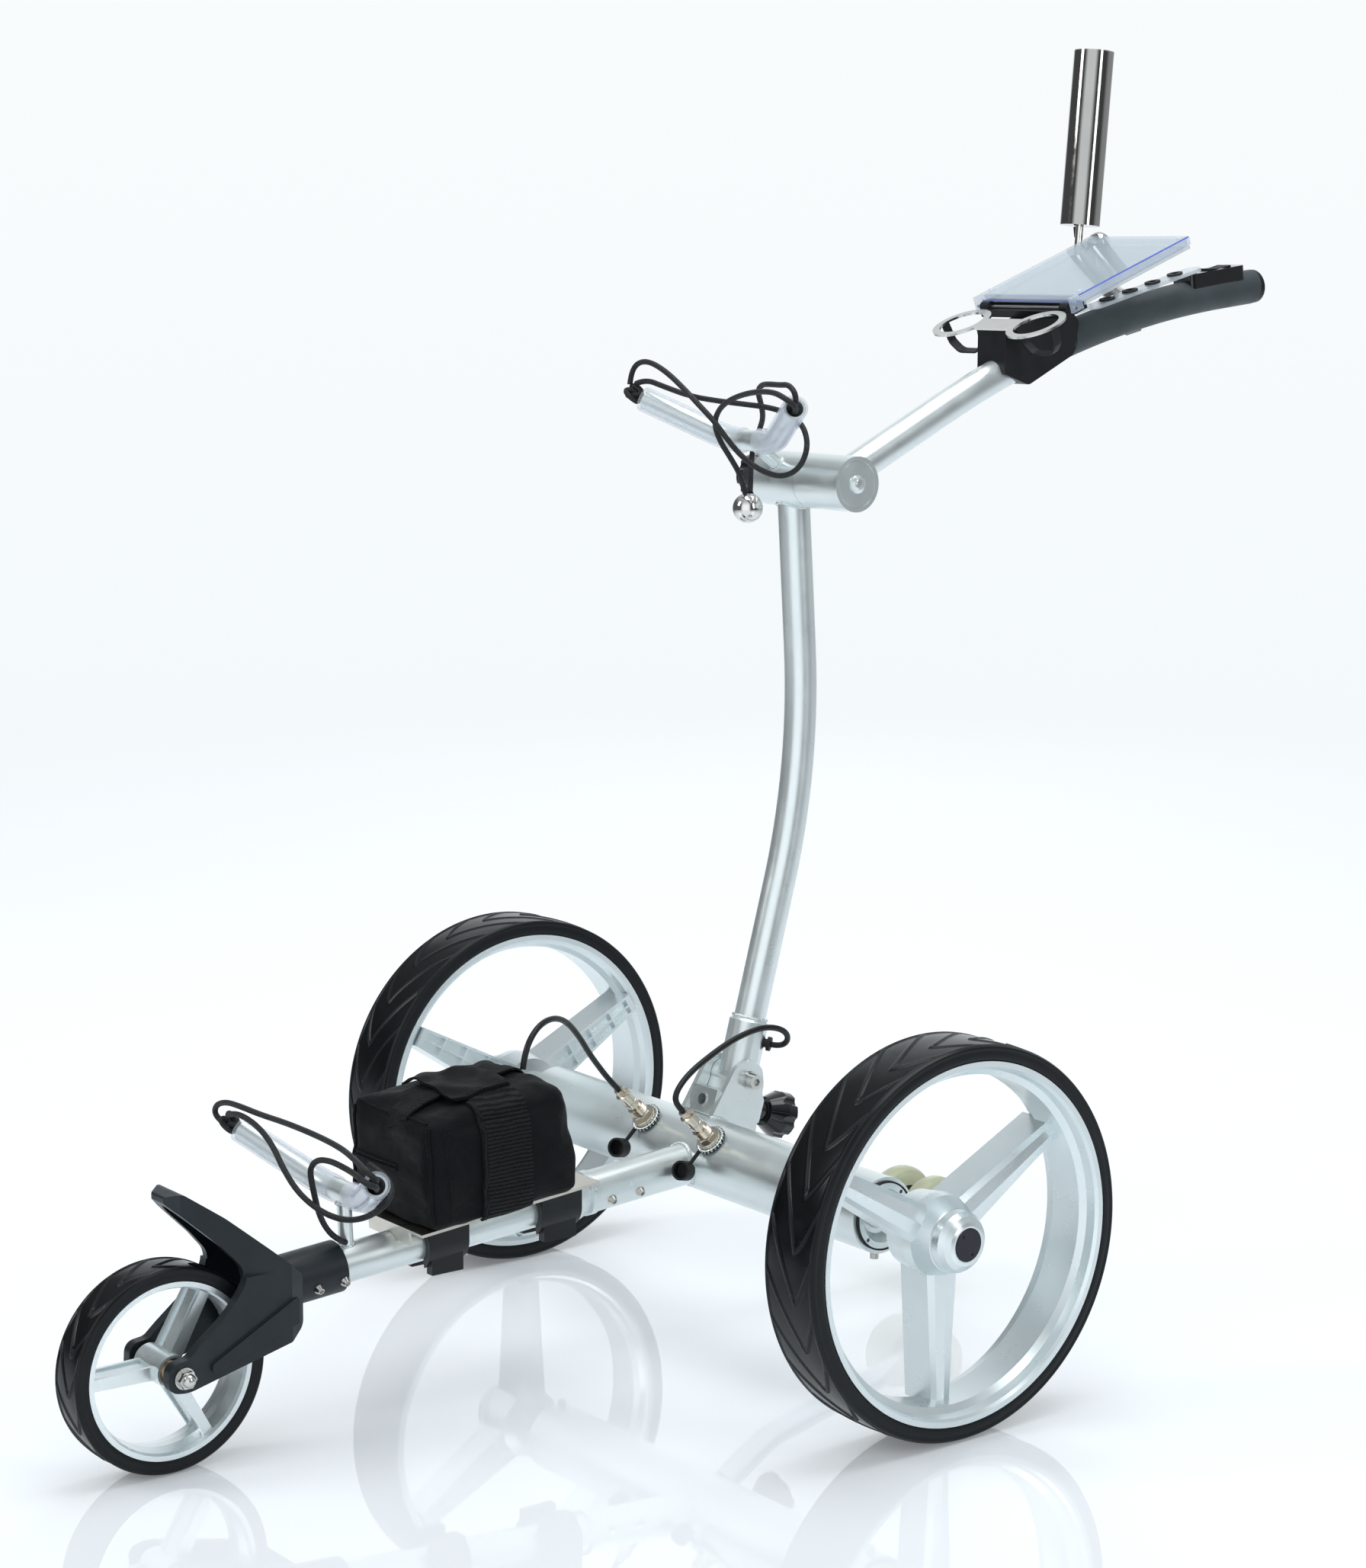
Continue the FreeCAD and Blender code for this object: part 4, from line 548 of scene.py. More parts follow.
lower_knot = knot("knot_lower", "lower_knot", "frame")
upper_knot = knot("knot_upper", "upper_knot", "upright")
LOWER_LOOP = [
    (101, -399.5, 227.2), (107.5, -402.6, 230.3), (108, -409, 236.5), (99, -411, 241),
    (84, -408, 243), (60, -405, 246), (24, -404, 247.6), (-20, -406, 248.8), (-58, -407, 247.6),
    (-88, -407.5, 248), (-110, -408.5, 247.5), (-125, -409.5, 242), (-128, -409, 232.5),
    (-120, -407, 229),
]
LOWER_STRAND = [
    (-108, -408, 236), (-99, -410, 240.5), (-80, -411, 243), (-52, -412.5, 240), (-26, -415, 231),
    (-8, -416.5, 216.5), (11, -416, 203), (32, -413, 194), (54, -409, 190), (73, -403.5, 191),
    (87, -395, 197), (91, -382.9, 205.4), (84.2, -373.6, 215), (68, -372, 222), (53, -376, 226.5),
]
LOWER_HOOK = [
    (101.9, -399.9, 222.1), (109.5, -403.4, 225.8), (111.5, -411, 229), (103, -414, 232),
    (89, -411, 233), (70, -407.5, 232.6), (50, -408.5, 234.2), (34, -411, 232), (25, -412, 223),
    (27, -411.5, 211), (26, -408, 198), (18, -400.5, 184), (12.5, -391, 168.5), (10.5, -380, 157),
    (7.2, -369.5, 151.5),
]
UPPER_LOOP = [
    (-138, 18, 812.5), (-137.5, 19, 823), (-128, 19.5, 832), (-110, 18.5, 833), (-86, 18, 825),
    (-62, 19, 811), (-42, 20, 797.5), (-25, 22, 785.5), (-12, 26, 770.5), (0, 32.5, 756),
    (17, 39.5, 745), (35, 47, 740.5), (48, 54, 747.5), (51, 60, 761), (45, 65.5, 773.5),
    (36, 66.5, 785), (24, 61.5, 793), (9, 53.5, 797.5), (-12, 44, 799.5), (-38, 36, 801.5),
    (-68, 30, 804.5), (-98, 24, 812), (-119, 21, 817.5), (-131, 19.5, 813.5),
]
BALL_FRONT = [
    (78.9, 24.2, 797.3), (85.3, 21, 800.2), (86.5, 13.5, 805), (78, 11.5, 809.6), (63, 14.5, 812.5),
    (42, 18, 812.6), (17, 21, 809.6), (-8, 24.5, 803.6), (-27, 28.5, 795), (-38, 32, 783),
    (-36, 36.5, 768.5), (-28, 42.5, 753.5), (-22, 49, 738.5), (-20.6, 52.5, 724),
]
BALL_BACK = [
    (77.1, 25, 802.1), (83.3, 21.8, 804.9), (84, 19.5, 813.5), (74, 21, 819), (57, 26.5, 818),
    (37, 32, 818), (17, 39, 817), (0, 48.5, 810.5), (-9, 60, 798.5), (-20, 71, 787.5),
    (-34, 78.5, 776.5), (-43, 79.5, 763), (-41, 75, 749.5), (-31, 66.5, 737), (-20.5, 57.6, 724),
]
BATTERY_CABLE = [
    (-2, -192, 263.4), (-2.5, -190.5, 273), (-5, -183, 287), (-11, -168, 296.5), (-20, -148, 297.5),
    (-31, -127, 289), (-41, -107, 271), (-49, -90.5, 252), (-54.5, -76.5, 237.5),
    (-57.5, -64.5, 224.6), (-58, -53.74, 213.74),
]
CONTROL_CABLE = [
    (-4.2, 71.8, 245.5), (1.8, 76.2, 244.6), (9, 79.2, 249), (13.5, 76, 257.5), (15, 65.5, 264.5),
    (15.2, 49, 268), (15.8, 29, 266), (17, 7.5, 260.5), (20, -15, 252.5), (24, -36, 244.5),
    (28.5, -51.5, 236.5), (32, -61, 228), (33, -60.2, 220.2), (33, -53.74, 213.74),
]

ball = [nodes["cord_ball"]]
for name, route, node, body, length, far_end, lay, held in (
        ("lower_loop", LOWER_LOOP, "lower_loop", "frame", 268, "knot", "loose", [lower_knot]),
        ("lower_strand", LOWER_STRAND, "lower_strand", "frame", 276, "bare", "loose", []),
        ("lower_hook", LOWER_HOOK, "lower_hook", "frame", 197, "object", "loose", []),
        ("upper_loop", UPPER_LOOP, "upper_loop", "upright", 458, "knot", "loose", [upper_knot]),
        ("ball_front", BALL_FRONT, "ball_cord_front", "upright", 215, "fitting", "hanging", ball),
        ("ball_back", BALL_BACK, "ball_cord_back", "upright", 230, "fitting", "hanging", ball)):
    add_cord("shock_cord_" + name, route, SHOCK_D, node, cord_black, body)

# ---------------------------------------------------------------- cable plugs

profile = [(0, 6.55), (0, 7.2)]
for k in range(12):
    profile += [(0.5 + 0.58 * k, 7.4), (0.8 + 0.58 * k, 7.05)]
profile += [(7.6, 7.2), (7.8, 5.6), (8.6, 5.6), (9.0, 5.8), (15.0, 5.8), (15.3, 5.3), (15.8, 5.3),
            (16.1, 5.8), (22.6, 5.8), (23.0, 6.5), (26.6, 6.5), (27.0, 5.0)]
for k in range(5):
    profile += [(27.2 + 1.1 * k, 4.4), (27.9 + 1.1 * k, 4.35), (28.1 + 1.1 * k, 3.7)]
PLUG_PROFILE = profile + [(32.9, 4.2), (33.1, 2.7)]
SCREW_PROFILE = [(-0.4, 1.3), (0.35, 1.3), (0.45, 1.0), (0.1, 0.8), (0.1, 0.01)]
PLUG_SEAT = 42.9
plugs = {}
for label, x in SOCKET_X.items():
    seat = (X * x + AXLE + SOCKET_DIR * PLUG_SEAT) * MM
    replaced = ["connector_plugs"] if not plugs else []
    plugs[label] = add(f"plug_{label}", turned(f"plug_{label}", PLUG_PROFILE, seat, SOCKET_DIR, 40), "frame",
                       champagne, *replaced, slot="connector_metal")
    for k, side in enumerate((Vector((0.3, 0.67, 0.67)).normalized(), X)):
        name = f"plug_{label}_screw_{k}"
        screw = turned(name, SCREW_PROFILE, seat + (SOCKET_DIR * 25 + side * 6.2) * MM, side, 20)
        add(name, screw, "frame", screw_steel, slot="screw_steel").parent = plugs[label]

add_cord("cable_battery", BATTERY_CABLE, CABLE_D, "battery_cable", cable_black, "frame")

# one end of this cable moves with the upright and the other stays with the frame, so it is left out of both
# bodies as a mesh in world space
control_line = line_of(cord_curve("control_line", CONTROL_CABLE))
control = add("cable_control", rod("cable_control", control_line, CABLE_D / 2, 14), None, cable_black,
              "control_cable", slot="cable_jacket")
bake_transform(control)

# ---------------------------------------------------------------- materials of the CAD nodes

for material, names in (
        (frame_silver, "axle_tube front_tube upright_tube upright_foot post_barrel handle_tube"),
        (wheel_silver, "rear_rim_right rear_rim_left front_rim"),
        (fork_black, "front_fork"), (clamp_black, "tray_clamps handle_clamp"), (tray_steel, "battery_tray"),
        (screw_steel, "frame_screws"), (stainless, "front_axle pivot_bolt"), (bronze, "front_bearings"),
        (soft_black, "cable_grommet speed_rocker"), (gloss_black, "control_module base_knob top_knob"),
        (key_grey, "power_button"), (pack_grey, "battery_pack"), (chrome, "umbrella_holder cord_ball"),
        (tube_polish, "umbrella_tube")):
    for node in names.split():
        finish_node(node, material)


def drive_part(lo, hi):
    if abs(lo[0] + hi[0]) < 60:
        return "controller"
    if hi[0] - lo[0] < 10:
        return "seal"
    return "bell" if max(abs(lo[0]), abs(hi[0])) > 240 else "motor"


def hinge_part(lo, hi):
    if hi[0] - lo[0] < 6:
        return "cheek_a" if lo[0] > -30 else "cheek_b"
    return "bush" if hi[2] - lo[2] < 15 and hi[1] - lo[1] < 15 else "block"


finish_parts("drive_units", drive_part,
             controller=case_black, seal=soft_black, bell=cast_silver, motor=pack_grey)
finish_parts("connector_sockets", lambda lo, hi: "cap" if lo[2] < 172 and lo[1] < -45 else "nut",
             cap=soft_black, nut=champagne)
finish_parts("stub_tube", by_size(1, 30, "tube", "bush"), bush=soft_black, tube=frame_silver)
for node in ("lower_cradle", "upper_cradle"):
    finish_parts(node, by_size(0, 120, "tube", "sleeves"), tube=frame_silver, sleeves=sleeve_clear)
finish_parts("tail_tube", by_size(1, 60, "tube", "bolt"), tube=frame_silver, bolt=stainless)
for side in ("right", "left"):
    finish_parts(f"tail_wheel_{side}", by_size(1, 50, "tyre", "core"), tyre=skate, core=soft_black)
    finish_parts(f"rear_shaft_{side}", by_size(0, 5, "shaft", "disc"), disc=disc_black, shaft=screw_steel)
finish_parts("hinge_bracket", hinge_part,
             cheek_a=cast_silver, cheek_b=cast_silver, bush=screw_steel, block=cast_silver)
finish_parts("handle_barrel", lambda lo, hi: "button" if lo[0] > 60 else "barrel",
             button=cast_silver, barrel=frame_silver)
finish_parts("grip", lambda lo, hi: "end_cap" if lo[1] > 590 else "sleeve",
             end_cap=case_black, sleeve=grip_grey)
finish_parts("ring_plate", by_size(0, 100, "plate", "bands"), plate=ring_steel, bands=soft_black)
finish_parts("tee_strip", by_size(1, 60, "strip", "grommets"), strip=strip_clear, grommets=soft_black)

# the scorecard holder: black hinge bar, clear tray and a clear lid whose edges catch blue light
CARD_HINGE = mm(33, 324, 879)
CARD_SLOPE = math.radians(20.8)
HINGE_BAR_DEPTH = 21
up_slope = Matrix.Rotation(CARD_SLOPE, 3, "X")
card_face = up_slope @ Z


def on_card(x, y, z):
    """Point on the scorecard holder: x from its middle, y up its slope from the hinge, z off its back."""
    return CARD_HINGE + up_slope @ mm(x, y, z)


holder = split("card_base", by_size(2, 5, "base", "pin"))
holder["pin"].data.materials.append(screw_steel)
for material in (clamp_black, strip_clear):
    holder["base"].data.materials.append(material)
for polygon in holder["base"].data.polygons:
    place = up_slope.transposed() @ (polygon.center - CARD_HINGE) / MM
    polygon.material_index = 0 if place.y < HINGE_BAR_DEPTH else 1
lid = split("card_lid", lambda lo, hi: "shell")["shell"]
for material in (lid_clear, lid_edge):
    lid.data.materials.append(material)
for polygon in lid.data.polygons:
    polygon.material_index = 0 if abs(polygon.normal.dot(card_face)) > 0.9 else 1
for label, line in (("side", [(61.3, 149, 9.3), (61.3, 110, 9.3), (61.3, 50, 9.3), (61.3, 7, 9.3)]),
                    ("front", [(61, 6.3, 3.2), (30, 6.3, 3.2), (-30, 6.3, 3.2), (-61, 6.3, 3.2)])):
    name = f"lid_line_{label}"
    add(name, rod(name, [on_card(*q) for q in line], 0.75, 10), "lid", lid_line, slot="clear_lid")
for i, (x, y) in enumerate(((-56, 14), (56, 14), (-56, 143), (56, 143))):
    pin = turned(f"lid_pin_{i}", [(0, 2.6), (1.0, 2.6), (1.5, 2.0), (1.6, 1.0), (1.6, 0.01)],
                 on_card(x, y, 10.0), card_face, 24)
    add(f"lid_pin_{i}", pin, "lid", sleeve_clear, slot="clear_lid")


# ---------------------------------------------------------------- tyres

LEAF_STEPS = 36
RIB_HEIGHT = 0.95
# where a rib's two legs meet, and how far out they reach, as parts of the half width
LEAF_APEX, LEAF_REACH = 0.22, 0.94


def tread(turn, across, half, pitch, lead):
    """Height from 0 to 1 of the ribs between leaf shaped panels: pitch apart, the legs swept back by lead."""
    u, s = np.meshgrid(across, turn)
    long_leg = lead * (np.clip((LEAF_APEX - u) / (LEAF_APEX + LEAF_REACH), 0, 1) ** 0.82)
    short_leg = 0.62 * lead * (np.clip((u - LEAF_APEX) / (LEAF_REACH - LEAF_APEX), 0, 1) ** 1.5)
    leg = np.where(u < LEAF_APEX, long_leg, short_leg)
    slope = np.gradient(leg, across, axis=1) / half
    ribs = np.zeros_like(u)
    for k in range(-3, 4):
        gap = np.abs((s % 1.0) + k + leg - lead) * pitch / np.sqrt(1.0 + (slope * pitch) ** 2)
        ribs = np.maximum(ribs, np.clip(1.7 - gap, 0, 0.6) / 0.6 * (np.abs(u) < 0.95))
    for edge in (-0.93, 0.90):
        ribs = np.maximum(ribs, np.clip(1.5 - np.abs(u - edge) * half, 0, 0.6) / 0.6)
    return ribs * ribs * (3 - 2 * ribs)


def tyre(name, node, body, centre, x_range, outer, inner, leaves, lead, rows, flip):
    """Tyre round a Y, Z centre, from the inner wall's bead over the tread to the outer wall's."""
    steps = leaves * LEAF_STEPS
    half = (x_range[1] - x_range[0]) / 2
    mid = sum(x_range) / 2
    across = np.linspace(-1, 1, rows)
    crown = outer - 1.0 - (outer - inner) * 0.10 * np.abs(across) ** 3
    relief = tread(np.arange(steps) / LEAF_STEPS, across, half, 2 * math.pi * outer / leaves, lead)
    r = crown[None, :] + relief * RIB_HEIGHT
    if flip:
        r, relief = r[:, ::-1], relief[:, ::-1]
    shoulder = crown[0]
    # side wall: part of the half width, radius
    wall = [(1.0, shoulder - 0.6), (1.0, shoulder - 2.2), (0.985, shoulder - 3.2), (1.0, shoulder - 4.6),
            (1.0, inner + 3.0), (0.995, inner + 1.2), (0.97, inner + 0.2), (0.80, inner + 0.1)]
    xs = np.array([mid - f * half for f, _ in reversed(wall)] + list(mid + across * half * 0.985) +
                  [mid + f * half for f, _ in wall])
    low = np.array([[q for _, q in reversed(wall)]] * steps)
    high = np.array([[q for _, q in wall]] * steps)
    radius = np.concatenate([low, r, high], axis=1)
    marks = np.concatenate([np.full(low.shape, 0.85), relief, np.full(high.shape, 0.85)], axis=1)
    angle = np.arange(steps)[:, None] * 2 * math.pi / steps
    points = np.zeros((steps, len(xs), 3))
    points[..., 0] = xs[None, :]
    points[..., 1] = centre[0] - radius * np.sin(angle)
    points[..., 2] = centre[1] + radius * np.cos(angle)
    mesh = grid_mesh(name, points * MM, True, False, 55)
    attribute = mesh.attributes.new("relief", "FLOAT", "POINT")
    attribute.data.foreach_set("value", marks.reshape(-1).astype(np.float32))
    return add(name, mesh, body, tyre_black, node, slot="tyre")


for side, x_range in (("right", (271.5, 330.0)), ("left", (-330.0, -271.5))):
    tyre(f"tyre_rear_{side}", f"rear_tyre_{side}", f"rear_wheel_{side}", AXLE[1:], x_range, 160.0, 146.2,
         24, 1.55, 52, side == "left")
tyre("tyre_front", "front_tyre", "front_wheel", (-531.5, 82), (-17.6, 17.6), 82.0, 70.2, 16, 1.2, 36, False)


# ---------------------------------------------------------------- welds

BARREL_RADIUS, AXLE_TUBE_RADIUS, FRONT_TUBE_RADIUS = 23.6, 31.6, 15.8


def saddle(start, direction, radius, point, axis, big, count=90):
    """Line where a tube that goes from start meets a bigger cylinder. Lengths in mm."""
    u = Vector(direction).normalized()
    axis = Vector(axis).normalized()
    e1 = u.orthogonal().normalized()
    d = u - axis * u.dot(axis)
    line = []
    for q in circle(Vector(start), e1, u.cross(e1), radius, count):
        w = q - Vector(point)
        w = w - axis * w.dot(axis)
        a, b, c = d.dot(d), 2 * w.dot(d), w.dot(w) - big * big
        reach = (-b - math.sqrt(max(b * b - 4 * a * c, 0.0))) / (2 * a)
        line.append((q + u * reach) * MM)
    return line


def weld(name, line, body, size, closed=True):
    """Bead of lapped scales along a line; size is its radius in mm."""
    length = sum((b - a).length for a, b in zip(line, line[1:]))
    scales = max(4, int(length / 0.0030))
    ends = line[1:] + line[:1] if closed else line[1:]
    dense = [a.lerp(b, k / 5) for a, b in zip(line, ends) for k in range(5)]
    mesh = sweep(name, dense, size * MM, closed, 10, 0.32, scales)
    return add(name, mesh, body, cast_silver, slot="silver_frame")


def ring_weld(name, centre, u, v, radius, count, body, size):
    weld(name, circle(centre * MM, u, v, radius * MM, count), body, size)


def rising(degrees):
    """Unit vector in the middle plane that points back and rises by an angle."""
    return Vector((0, math.cos(math.radians(degrees)), math.sin(math.radians(degrees))))


front_dir = rising(4.0)
front_at = Vector((0, -419.0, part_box("front_tube")[0].z / MM + 15.7))
weld("weld_stub", saddle(front_at + front_dir * 300, front_dir, 17.9, AXLE, X, AXLE_TUBE_RADIUS),
     "frame", 2.1)
lean = rising(90.0 - 15.3)
ring_weld("weld_foot", POST_FOOT + lean * 51.5, X, lean.cross(X), 14.6, 60, "upright", 1.5)
bend = POST_FOOT + lean * 277.0
post_dir = (Vector((POST_FOOT.x, *TOP_BARREL[1:])) - bend).normalized()
weld("weld_post", saddle(bend, post_dir, 14.1, TOP_BARREL, X, BARREL_RADIUS), "upright", 1.7)
handle_dir = -rising(26.0)
handle_at = TOP_BARREL + X * 33.0 - handle_dir * 120
weld("weld_handle", saddle(handle_at, handle_dir, 14.1, TOP_BARREL, X, BARREL_RADIUS), "handle", 1.7)
strut_at = front_at + Vector((0, 54.5, 54.5 * front_dir.z / front_dir.y))
weld("weld_strut_low", saddle(strut_at + Vector((0, -0.8, 30)), (0, 0.03, -1), 6.3, front_at, front_dir,
                              FRONT_TUBE_RADIUS, 40), "frame", 1.3)
ring_weld("weld_strut_top", Vector((0, -366.5, 181.5)), X, Y, 6.2, 40, "frame", 1.3)
cradle_foot = Vector((-23.0, 92.5, 745.0))
cradle_dir = (Vector((-23.0, 61.0, 768.0)) - cradle_foot).normalized()
weld("weld_strut_upper", saddle(cradle_foot + cradle_dir * 30, -cradle_dir, 6.4, TOP_BARREL, X,
                                BARREL_RADIUS, 40), "upright", 1.3)
for label, x in (("a", -0.6), ("b", -45.4)):
    arc = [(X * x + AXLE + rising(9.0 + 79.0 * k / 39) * 32.0) * MM for k in range(40)]
    weld(f"weld_cheek_{label}", arc, "frame", 1.6, False)
weld("weld_tail", saddle((0, 70, 108), (0, -50, 30), 11.1, AXLE, X, AXLE_TUBE_RADIUS, 60), "frame", 1.5)
for label, x in SOCKET_X.items():
    ring_weld(f"weld_socket_{label}", X * x + AXLE + SOCKET_DIR * 33.4, X, SOCKET_DIR.cross(X), 12.0, 50,
              "frame", 1.9)

# ---------------------------------------------------------------- battery bag

TRAY_SLOPE = Matrix.Rotation(math.radians(4.8), 3, "X")
TRAY_BACK = Vector((0, -178.0, 172.0))
BAG_HALF = Vector((59.0, 70.5, 45.0))
BAG_CENTRE = Vector((0, -249.0, 45.6))


def bag_point(x, y, z):
    """Point in the bag's own box (z above its floor) brought on to the tray's slope."""
    return TRAY_BACK * MM + TRAY_SLOPE @ mm(x, y - TRAY_BACK.y, z)


def soft_box():
    """Rounded box with a crowned top, finely divided."""
    bm = bmesh.new()
    bmesh.ops.create_cube(bm, size=2.0)
    bmesh.ops.subdivide_edges(bm, edges=bm.edges, cuts=22, use_grid_fill=True)
    for v in bm.verts:
        p = Vector(v.co[i] * BAG_HALF[i] for i in range(3))
        corner = 8.0 if p.z > 0 else 5.5
        inner = Vector(max(-h + corner, min(h - corner, q)) for q, h in zip(p, BAG_HALF))
        if (p - inner).length > 1e-6:
            p = inner + (p - inner).normalized() * corner
        height = (p.z / BAG_HALF.z + 1) / 2
        p.x *= 1.0 + 0.02 * math.sin(math.pi * height)
        if p.z > 0:
            p.z += 2.6 * (1 - (p.x / BAG_HALF.x) ** 2) * (1 - (p.y / BAG_HALF.y) ** 2) * height
            p.y -= 3.0 * height * (p.y / BAG_HALF.y)
        v.co = bag_point(*(p + BAG_CENTRE))
    mesh = bpy.data.meshes.new("bag_body")
    bm.to_mesh(mesh)
    bm.free()
    return mesh


SIMULATED_FRAMES = 20
HELD_HEIGHT = 0.016


def inflate(mesh, voxel, pressure, cap):
    """Voxel remesh, then a short pressurised cloth run; no point moves further than cap, in metres."""
    work = bpy.data.objects.new("inflating", mesh)
    bpy.context.scene.collection.objects.link(work)
    remesh = work.modifiers.new("remesh", "REMESH")
    remesh.mode = "VOXEL"
    remesh.voxel_size = voxel
    graph = bpy.context.evaluated_depsgraph_get()
    even = bpy.data.meshes.new_from_object(work.evaluated_get(graph))
    work.modifiers.clear()
    work.data = even
    rest = np.array([v.co[:] for v in even.vertices])
    held = work.vertex_groups.new(name="held")
    lowest = rest[:, 2].min()
    held.add([i for i, p in enumerate(rest) if p[2] < lowest + HELD_HEIGHT], 1.0, "ADD")
    settings = work.modifiers.new("cloth", "CLOTH").settings
    settings.quality = 6
    settings.mass = 0.25
    settings.use_pressure = True
    settings.uniform_pressure_force = pressure
    settings.effector_weights.gravity = 0.0
    settings.vertex_group_mass = "held"
    settings.tension_stiffness = 12.0
    settings.bending_stiffness = 0.4
    for number in range(1, SIMULATED_FRAMES + 1):
        bpy.context.scene.frame_set(number)
    blown = work.evaluated_get(bpy.context.evaluated_depsgraph_get())
    move = np.array([v.co[:] for v in blown.to_mesh().vertices]) - rest
    blown.to_mesh_clear()
    size = np.linalg.norm(move, axis=1, keepdims=True)
    rest = rest + move * np.minimum(1.0, cap / np.maximum(size, 1e-9))
    work.modifiers.clear()
    bpy.context.scene.frame_set(1)
    even.vertices.foreach_set("co", rest.reshape(-1))
    bpy.data.objects.remove(work)
    return even


def slack(x, y, z):
    """How far the cloth stands off the simulated box: hollows, wrinkles and the seam near the top, in mm.

    x and z are places in the bag's own box, and y counts along it from an arbitrary start.
    """
    depth = 2.2 * noise.noise(Vector((x * 0.020, y * 0.030, z * 0.045)))
    depth += 1.2 * noise.noise(Vector((x * 0.05 + 7, y * 0.05, z * 0.09)))
    depth += 3.4 * noise.noise(Vector((x * 0.055, y * 0.055 + 3, 1.7))) * max(0.0, (z - 66) / 24)
    crease = math.sin(0.10 * (y + 1.2 * z) + 2.0 * noise.noise(Vector((x * 0.03, y * 0.02, z * 0.02))))
    depth += 0.7 * max(0.0, crease) ** 3 * min(1.0, z / 40.0)
    return depth - 1.6 * math.exp(-((z - 80.0) / 2.2) ** 2)


bag_mesh = inflate(soft_box(), 0.0042, 1.6, 0.0018)
bag_middle = bag_point(0, BAG_CENTRE.y, 45)
for v in bag_mesh.vertices:
    place = TRAY_SLOPE.transposed() @ (v.co - TRAY_BACK * MM) / MM
    v.co += (v.co - bag_middle).normalized() * slack(place.x, place.y - TRAY_BACK.y, place.z) * MM
smooth(bag_mesh, 80)
bag = add("bag_body", bag_mesh, "frame", nylon, "battery_bag", "bag_lid", slot="bag_fabric")
rounder = bag.modifiers.new("rounder", "SUBSURF")
rounder.levels = 1
rounder.render_levels = 1

surface = BVHTree.FromPolygons([v.co[:] for v in bag_mesh.vertices],
                               [p.vertices[:] for p in bag_mesh.polygons])


def on_bag(origin, direction):
    """Where a ray meets the bag's cloth, or the nearest place to where it should."""
    hit = surface.ray_cast(origin, direction)[0]
    return surface.find_nearest(origin + direction * 0.1)[0] if hit is None else hit


def sheet_over(name, ray_at, rows, columns, lift_at, thickness, material):
    """Strip of webbing that follows the bag: a grid of rays, lifted off the cloth, with thickness."""
    loops = []
    for i in range(rows):
        outer, inner = [], []
        for j in range(columns):
            u, w = i / (rows - 1), j / (columns - 1)
            origin, direction = ray_at(u, w)
            hit, lift = on_bag(origin, direction), lift_at(u, w)
            inner.append(hit - direction * lift * MM)
            outer.append(hit - direction * (lift + thickness) * MM)
        loops.append(outer + inner[::-1])
    caps = [[(p + q) / 2 for p, q in zip(loop, loop[::-1])] for loop in (loops[0], loops[-1])]
    points = np.array([caps[0], *loops, caps[1]])
    return add(name, grid_mesh(name, points, False, True, 50), "frame", material, slot="bag_fabric")


def polar(y, degrees):
    """Ray from outside towards the bag's long middle line, at an angle above +X."""
    a = math.radians(degrees)
    inward = TRAY_SLOPE @ Vector((-math.cos(a), 0, -math.sin(a)))
    return bag_point(0, y, 42) - inward * 0.2, inward


def from_above(x, y):
    return bag_point(x, y, 200), TRAY_SLOPE @ -Z


sheet_over("bag_hook_panel", lambda u, w: polar(-270 + 43 * w + 3 * u, -37 + 92 * u), 80, 16,
           lambda u, w: 0.6 + 0.4 * math.sin(u * 21) * w, 2.4, hook_tape)
sheet_over("bag_panel_binding", lambda u, w: polar(-274 + 4 * w + 3 * u, -37 + 88 * u), 80, 5,
           lambda u, w: 0.5, 2.8, webbing)


def strap_lift(u):
    wave = math.sin(math.pi * u)
    return 0.3 + 3.2 * wave ** 0.6 + 1.0 * math.sin(u * 9.0) * wave


sheet_over("bag_carry_strap",
           lambda u, w: from_above(-4 + 30 * w - 26 * u + 3 * math.sin(u * 3.0), -317 + 136 * u),
           70, 9, lambda u, w: strap_lift(u), 1.8, webbing)


def roof(u, w):
    """Lift of the flap: it rises to a fold over the strap, then slopes down to the hook panel."""
    rise = 3.5 + 20.0 * u if u < 0.3 else 9.5 - 8.6 * (u - 0.3)
    return rise + 0.7 * math.sin(w * 5 + u * 3)


sheet_over("bag_flap", lambda u, w: from_above(-30 + 70 * u, -284 + 54 * w + 4 * u), 60, 24, roof, 2.2, nylon)
sheet_over("bag_flap_hem", lambda u, w: from_above(34 + 5.5 * u, -281.5 + 54 * w), 8, 24,
           lambda u, w: roof(0.92 + 0.06 * u, w) + 1.9, 0.8, webbing)


def seam_line(name, starts, direction, radius, material):
    """Rod along the cloth, partly sunk into it; radius in mm."""
    path = [on_bag(start, direction) - direction * radius * 0.4 * MM for start in starts]
    add(name, rod(name, path, radius, 8), "frame", material, slot="bag_fabric")


